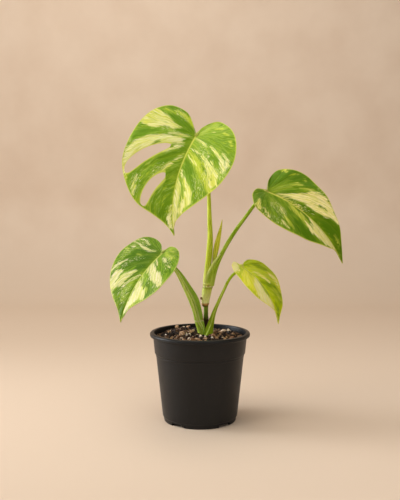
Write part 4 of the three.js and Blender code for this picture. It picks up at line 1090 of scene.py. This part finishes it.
def husk():
    """The husk: a thin ragged sleeve whose upper edge is a sum of sines, and tapered fibres that
    stand round it."""
    random = np.random.default_rng(SEED)
    x, y = STEM[1][:2]
    columns, rows = 121, 14
    turn, share = np.meshgrid(np.linspace(0, 2 * np.pi, columns), np.linspace(0, 1, rows), indexing="ij")
    top = HUSK["top"] + 2.2 * np.sin(5 * turn) + 1.4 * np.sin(13 * turn + 1) + 0.8 * np.sin(31 * turn)
    height = HUSK["bottom"] + (top - HUSK["bottom"]) * share
    away = HUSK["radius"] + 0.3 * np.sin(7 * turn) + 0.5 * share**2
    sleeve = np.stack([x + away * np.cos(turn), y + away * np.sin(turn), height], -1).reshape(-1, 3)
    triangles, kept = welded(sleeve, grid_triangles(columns, rows)[:, ::-1])
    points, triangles = shell(sleeve[kept], triangles, np.full(len(kept), HUSK["thickness"]))
    all_points, all_triangles, count = [points], [triangles], len(points)
    for _ in range(HUSK["fibres"]):
        angle = random.uniform(0, 2 * np.pi)
        out = np.array([np.cos(angle), np.sin(angle), 0])
        foot = np.array([x, y, HUSK["bottom"]]) + out * (HUSK["radius"] + random.uniform(0, 0.4))
        tall = random.uniform(12, 22)
        lean = random.uniform(-0.06, 0.12)
        thick = random.uniform(0.16, 0.34)
        side = np.array([-out[1], out[0], 0]) * random.uniform(-0.12, 0.12)
        way = (out * lean + side + np.array([0, 0, 1])) * tall
        path = [(*(foot + way * share), thick * (1 - 0.75 * share), 165, 0.1)
                for share in (0, 0.35, 0.7, 1)]
        fibre, fibre_triangles, _ = stalk_mesh(out, path, 8)
        all_points.append(fibre)
        all_triangles.append(fibre_triangles + count)
        count += len(fibre)
    piece("husk_fibres", np.vstack(all_points), np.concatenate(all_triangles),
          husk_material("dry_husk_fibre", "#1d120a", "#6b4a2c"), ["dry_husk"])


def turned(profile, turn):
    """A profile of (radius, height) turned about the axis, one column of points for each angle."""
    away, height = np.asarray(profile, float).T
    height = np.broadcast_to(height, (len(turn), len(height)))
    return np.stack([away * np.cos(turn), away * np.sin(turn), height], -1)


def unevenness(x, y):
    """Smooth unevenness from -1 to 1: crossed sines."""
    return (np.sin(x * 0.31 + 1.3) * np.cos(y * 0.27 - 0.4) + np.sin(x * 0.53 - y * 0.47)) / 2


def mix_height(x, y):
    """The potting mix's surface: a parabola from the middle to the edge, bell-shaped mounds, and
    its unevenness."""
    share = np.minimum(1, np.hypot(x, y) / MIX["mound_radius"])
    height = MIX["middle_height"] + (MIX["edge_height"] - MIX["middle_height"]) * share**2
    for at_x, at_y, tall, radius in MIX["mounds"]:
        height = height + tall * np.exp(-((x - at_x) ** 2 + (y - at_y) ** 2) / radius**2)
    return height + MIX["uneven"] * unevenness(x, y)


def coir_material():
    """Moist coir and fine bark: dark, dull and crumbly, with lighter fibres. Its near-black tone
    is partly painted shade, standing for the shadowed gaps between the chips.
    """
    material, tree = new_material("moist_coir_with_painted_shade")
    place = add(tree, "ShaderNodeTexCoord").outputs["Object"]
    # Near-black colours, partly painted shade for the gaps between the chips.
    crumbs = add(tree, "ShaderNodeTexNoise", {
        "Vector": place, "Scale": 420, "Detail": 5, "Roughness": 0.7,
    })
    colour = laid(tree, linear("#0a0604"), linear("#22150c"), crumbs, 0.42, 0.72, step="LINEAR")
    bump = add(tree, "ShaderNodeBump", {"Height": crumbs, "Strength": 1, "Distance": 0.0012})
    return finished(material, tree, {"Base Color": colour, "Roughness": 0.9, "Normal": bump})


def chip_material(name, colours, roughness, grit):
    """Pieces of one stuff, from dark to light, each with its own tint, mottled by a fine grit."""
    dark, middle, light = colours
    material, tree = new_material(name)
    place = add(tree, "ShaderNodeTexCoord").outputs["Object"]
    mottle = add(tree, "ShaderNodeTexNoise", {
        "Vector": place, "Scale": grit, "Detail": 4, "Roughness": 0.65,
    })
    shade = add(tree, "ShaderNodeMath", {0: mottle, 1: 0.9, 2: -0.45}, operation="MULTIPLY_ADD")
    shade = add(tree, "ShaderNodeMath", {0: "tint", 1: shade}, operation="ADD")
    ramp = add(tree, "ShaderNodeValToRGB", {0: shade})
    ramp.color_ramp.elements[0].color = linear(dark)
    ramp.color_ramp.elements[1].color = linear(light)
    ramp.color_ramp.elements.new(0.5).color = linear(middle)
    bump = add(tree, "ShaderNodeBump", {"Height": mottle, "Strength": 0.9, "Distance": 0.0006})
    return finished(material, tree, {"Base Color": ramp, "Roughness": roughness, "Normal": bump})


def block_shape():
    """A cube's surface as 26 points and 48 triangles, its corners drawn in towards a ball."""
    steps = np.array([-1.0, 0, 1])
    points = np.stack(np.meshgrid(steps, steps, steps, indexing="ij"), -1).reshape(-1, 3)
    points = points[np.abs(points).max(1) > 0]
    triangles = []
    for axis in range(3):
        for end in (-1, 1):
            face = np.flatnonzero(points[:, axis] == end)
            others = [k for k in range(3) if k != axis]
            face = face[np.lexsort((points[face][:, others[1]], points[face][:, others[0]]))]
            made = face[grid_triangles(3, 3)]
            triangles.append(made if (end > 0) != (axis == 1) else made[:, ::-1])
    triangles = np.concatenate(triangles)
    a, b, c = (points[triangles[:, k]] for k in range(3))
    outward = np.einsum("ij,ij->i", np.cross(b - a, c - a), a + b + c) > 0
    triangles[~outward] = triangles[~outward][:, ::-1]
    return points / np.linalg.norm(points, axis=1, keepdims=True) ** 0.55, triangles


def scattered(random, stuff, shape):
    """Many shaken copies of a shape on the potting mix, the first of them at given places. Each is
    stretched to its own sizes, turned at random, tilted a little, and laid on the mound clear of
    the stems. Their tints are squared, so that most are dark, but the placed ones are light, and
    near the smallest size."""
    points, triangles = shape
    count, places, shake = stuff["count"], stuff["places"], stuff["shake"]
    angle = random.uniform(0, 2 * np.pi, count * 2)
    away = stuff["reach"] * np.sqrt(random.uniform(0, 1, count * 2))
    x, y = away * np.cos(angle), away * np.sin(angle)
    stems_x, stems_y = MIX["stems_at"]
    clear = np.hypot(x - stems_x, y - stems_y) > MIX["clear_of_stems"]
    x, y = x[clear][:count], y[clear][:count]
    for i, (at_x, at_y) in enumerate(places):
        x[i], y[i] = at_x, at_y
    long = random.uniform(*stuff["sizes"], count)
    long[:len(places)] = stuff["sizes"][0] * PLACED_SIZE
    wide = long * random.uniform(0.5, 0.85, count)
    high = long * random.uniform(*stuff["flatness"], count)
    scale = np.stack([long, wide, high], 1) / 2
    copies = points * random.uniform(1 - shake, 1 + shake, (count, len(points), 3)) * scale[:, None]
    turn = random.uniform(0, 2 * np.pi, count)
    tilt, roll = random.normal(0, 0.4, count), random.normal(0, 0.4, count)
    for spin, (p, q) in ((tilt, (1, 2)), (roll, (0, 2)), (turn, (0, 1))):
        c, s = np.cos(spin)[:, None], np.sin(spin)[:, None]
        first, second = copies[..., p].copy(), copies[..., q].copy()
        copies[..., p] = c * first - s * second
        copies[..., q] = s * first + c * second
    height = mix_height(x, y) + random.uniform(*stuff["lift"], count)
    copies += np.stack([x, y, height], 1)[:, None]
    offsets = np.arange(count)[:, None, None] * len(points)
    tints = random.uniform(0, 1, count) ** 2
    tints[:len(places)] = PLACED_TINT
    tint = np.repeat(tints, len(points))
    return copies.reshape(-1, 3), (triangles[None] + offsets).reshape(-1, 3), {"tint": tint}


def potting_mix():
    """The mix: a closed body with a finely uneven top, and what lies loose on it."""
    random = np.random.default_rng(SEED + 1)
    away = np.linspace(0, MIX["rim_radius"], 90)
    turn = np.linspace(0, 2 * np.pi, 241)[:, None]
    x, y = away * np.cos(turn), away * np.sin(turn)
    bumps = sum(size * np.sin(x * a + p) * np.sin(y * b + q) for size, a, p, b, q in MIX["bumps"])
    top = np.stack([x, y, mix_height(x, y) + bumps - MIX["sunk"]], -1)
    body = np.concatenate([top, turned(MIX["below"], turn)], 1)
    triangles, kept = welded(body.reshape(-1, 3), grid_triangles(*body.shape[:2])[:, ::-1])
    piece("mix_body", body.reshape(-1, 3)[kept], triangles, coir_material(),
          ["potting_mix"])
    block = block_shape()
    for name, stuff in LOOSE.items():
        material = chip_material(stuff["material"], stuff["colours"], stuff["roughness"], stuff["grit"])
        points, triangles, tint = scattered(random, stuff, block)
        piece(name, points, triangles, material, (), tint, stuff["crisp"])


def pot_material():
    """Injection-moulded black polypropylene with a fine spark-eroded grain that keeps its gloss
    down: satin, nearly black, with a little dust, and faint upright scuffs from handling."""
    material, tree = new_material("black_polypropylene")
    place = add(tree, "ShaderNodeTexCoord").outputs["Object"]
    dust = add(tree, "ShaderNodeTexNoise", {
        "Vector": place, "Scale": 38, "Detail": 5, "Roughness": 0.65,
    })
    colour = laid(tree, linear("#0b0d10"), linear("#191a1b"), dust, 0.45, 0.8, 0.35, "LINEAR")
    scuffs = streaks(tree, place, (0.0012, 0.0012, 0.02), 3, roughness=0.5)
    colour = laid(tree, colour, linear("#3c3c3b"), scuffs, 0.58, 0.72, 0.08, "LINEAR")
    grain = add(tree, "ShaderNodeTexNoise", {"Vector": place, "Scale": 1600, "Detail": 2})
    roughness = add(tree, "ShaderNodeMapRange", {
        "Value": dust, "From Min": 0.3, "From Max": 0.7, "To Min": 0.38, "To Max": 0.5,
    })
    bump = add(tree, "ShaderNodeBump", {"Height": grain, "Strength": 0.3, "Distance": 0.00015})
    return finished(material, tree, {
        "Base Color": colour, "Roughness": roughness, "Normal": bump, "IOR": 1.49,
        "Specular IOR Level": 0.35,
    })


def rounded(profile, radius, steps=4):
    """A profile whose corners are each replaced by a short parabola that starts and ends radius
    from the corner, or a third of the way along a shorter side."""
    p = np.array(profile, float)
    out = [p[:1]]
    share = np.linspace(0, 1, steps + 1)[:, None]
    for before, corner, after in zip(p[:-2], p[1:-1], p[2:]):
        ends = []
        for other in (before, after):
            far = np.linalg.norm(other - corner)
            ends.append(corner + (other - corner) * min(radius, far / 3) / far)
        out.append((1 - share) ** 2 * ends[0] + 2 * share * (1 - share) * corner + share**2 * ends[1])
    return np.vstack([*out, p[-1:]])


def pot_profile():
    """The pot's profile, from the middle of its underside out, up, over the lip and back down to
    the middle of its floor, with its corners rounded."""
    k = POT
    wall, skirt, underside = k["wall"], k["lip"] - k["lip_skirt"], k["height"] - k["lip_skirt"]
    arc = np.radians(np.linspace(0, 90, 9))
    lip = np.stack([k["lip"] + k["lip_rounding"] * (np.cos(arc) - 1),
                    k["height"] + k["lip_rounding"] * (np.sin(arc) - 1)], 1)
    outside = rounded([
        (0, 0), (k["disc"], 0), (k["ring_inner"], k["ring_height"]), (k["ring_outer"], k["ring_height"]),
        (k["ring_outer"] + 1.4, 0), (k["foot"], 0), (k["foot_top"], k["foot_height"]),
        (k["body_bottom"], k["foot_height"] + 1), (k["body_top"], k["body_height"]),
        (k["step"], k["body_height"] + 0.6), (k["step"], k["collar_height"] - 0.6),
        (k["collar_bottom"], k["collar_height"]), (k["collar_top"], k["lip_bottom"]),
        (k["collar_top"] + 0.2, underside), (skirt, underside), (skirt, k["lip_bottom"]),
        (k["lip"] - k["lip_chamfer"], k["lip_bottom"]), (k["lip"], k["lip_bottom"] + k["lip_chamfer"]),
        tuple(lip[0]),
    ], 0.6)[:-1]
    inside = rounded([
        tuple(lip[-1]), (k["collar_top"] - wall + 0.3, k["height"]),
        (k["collar_top"] - wall, k["lip_bottom"] + 1), (k["collar_bottom"] - wall, k["collar_height"]),
        (k["body_top"] - wall, k["body_height"]),
        (k["body_bottom"] - wall - 0.4, k["ring_height"] + wall),
        (k["ring_inner"] + 0.6, k["ring_height"] + wall), (k["disc"] + 0.6, wall), (0, wall),
    ], 0.8)[1:]
    return np.vstack([outside, lip, inside])


def pot_cutters():
    """A cylinder for each drain hole and a block for each notch of the foot."""
    cutters = []
    for i in range(POT["drain_holes"]):
        angle = 2 * np.pi * (i + 0.5) / POT["drain_holes"]
        away, middle = POT["drain_circle"], POT["ring_height"] + 1
        place = (away * np.cos(angle) * MM, away * np.sin(angle) * MM, middle * MM)
        bpy.ops.mesh.primitive_cylinder_add(vertices=32, radius=POT["drain_hole"] * MM,
                                            depth=4 * POT["wall"] * MM, location=place)
        cutters.append(bpy.context.object)
    for angle in np.radians(POT["notch_angles"]):
        place = (POT["foot"] * np.cos(angle) * MM, POT["foot"] * np.sin(angle) * MM, 0)
        bpy.ops.mesh.primitive_cube_add(size=1, location=place, rotation=(0, 0, angle))
        cutters.append(bpy.context.object)
        cutters[-1].scale = (10 * MM, POT["notch_width"] * MM, 2 * POT["notch_height"] * MM)
    return cutters


def pot():
    """The pot: its profile turned about the axis, with the drain holes and the foot's notches cut
    out of it."""
    turn = np.linspace(0, 2 * np.pi, POT["segments"] + 1)[:, None]
    grid = turned(pot_profile(), turn)
    triangles, kept = welded(grid.reshape(-1, 3), grid_triangles(*grid.shape[:2]))
    made = piece("nursery_pot", grid.reshape(-1, 3)[kept], triangles, pot_material(),
                 ["pot"], None, POT["crisp"])
    cutters = pot_cutters()
    for cutter in cutters:
        modifier = made.modifiers.new("cut", "BOOLEAN")
        modifier.object = cutter
        modifier.solver = "EXACT"
    evaluated = made.evaluated_get(bpy.context.evaluated_depsgraph_get())
    mesh = bpy.data.meshes.new_from_object(evaluated)
    mesh.name = "nursery_pot"
    made.modifiers.clear()
    made.data = mesh
    mesh.polygons.foreach_set("use_smooth", np.ones(len(mesh.polygons), bool))
    mesh.set_sharp_from_angle(angle=np.radians(POT["crisp"]))
    for cutter in cutters:
        bpy.data.objects.remove(cutter)


def studio():
    """A pale seamless paper sweep, a little darker on the floor: flat, then a quarter circle up
    into a wall."""
    material, tree = new_material("pale_studio_paper")
    place = add(tree, "ShaderNodeTexCoord").outputs["Object"]
    mottle = add(tree, "ShaderNodeTexNoise", {"Vector": place, "Scale": 9, "Detail": 3})
    colour = laid(tree, linear("#dfcab5"), linear("#e6d3bf"), mottle, 0.3, 0.7, step="LINEAR")
    height = add(tree, "ShaderNodeSeparateXYZ", {0: place}).outputs["Z"]
    colour = laid(tree, colour, linear("#d8c4af"), height, 0.25, 0)
    finished(material, tree, {"Base Color": colour, "Roughness": 0.9})
    bend = np.radians(np.linspace(0, 90, 25))
    radius, back = SWEEP["bend"], SWEEP["back"]
    depth = np.concatenate([[SWEEP["front"]], back - radius * (1 - np.sin(bend)), [back]])
    height = np.concatenate([[0], radius * (1 - np.cos(bend)), [SWEEP["top"]]])
    x = SWEEP["half_width"] * np.array([[-1], [0], [1]])
    grid = np.stack(np.broadcast_arrays(x, depth, height), -1)
    mesh = bpy.data.meshes.new("studio_sweep")
    mesh.from_pydata(grid.reshape(-1, 3) * MM, [], grid_triangles(*grid.shape[:2])[:, ::-1].tolist())
    mesh.polygons.foreach_set("use_smooth", np.ones(len(mesh.polygons), bool))
    mesh.materials.append(material)
    sweep = bpy.data.objects.new("studio_sweep", mesh)
    bpy.context.scene.collection.objects.link(sweep)


def area_light(name, place, target, size, power, colour, spread=180):
    """A square soft box aimed at a place (mm), its beam so many degrees wide."""
    light = bpy.data.lights.new(name, "AREA")
    light.size = size * MM
    light.energy = power
    light.color = linear(colour)[:3]
    light.spread = np.radians(spread)
    lamp = bpy.data.objects.new(name, light)
    direction = Vector(target) - Vector(place)
    lamp.location = Vector(place) * MM
    lamp.rotation_euler = direction.to_track_quat("-Z", "Y").to_euler()
    bpy.context.scene.collection.objects.link(lamp)


def lights():
    """A warm soft key from the upper left, a narrow window low on the left, a broad soft box
    overhead, a weak low fill from the right front, a wash on the wall, and a faint even room."""
    area_light("key", (-1050, -400, 1150), (0, 0, 120), 1200, 12.5, "#fff8ee")
    area_light("window", (-950, 120, 380), (0, 0, 150), 500, 0.9, "#f6faff", 50)
    area_light("overhead", (50, -500, 1700), (0, 0, 100), 2000, 16, "#fffaf4")
    area_light("fill", (900, -1300, 700), (0, 0, 200), 900, 2.4, "#fffaf4")
    area_light("wash", (-350, 450, 1700), (50, 1200, 750), 800, 5, "#fff6ea")
    world = bpy.data.worlds.new("soft_room")
    world.use_nodes = True
    world.node_tree.nodes["Background"].inputs["Color"].default_value = linear("#fbf8f4")
    world.node_tree.nodes["Background"].inputs["Strength"].default_value = 0.2
    bpy.context.scene.world = world


def camera():
    """The camera, level across, looking along +Y and a little down."""
    data = bpy.data.cameras.new("camera")
    data.lens = CAMERA["lens"]
    data.sensor_width = CAMERA["sensor"]
    made = bpy.data.objects.new("camera", data)
    made.location = [value * MM for value in CAMERA["place"]]
    made.rotation_euler = (np.radians(90 - CAMERA["down"]), 0, 0)
    bpy.context.scene.collection.objects.link(made)
    bpy.context.scene.camera = made


bpy.context.scene.view_settings.view_transform = "Standard"
camera()
studio()
lights()
for leaf_name in BLADES:
    blade(leaf_name, leaf_material(leaf_name))
petioles()
sheath()
new_leaf()
main_stem()
husk()
potting_mix()
pot()
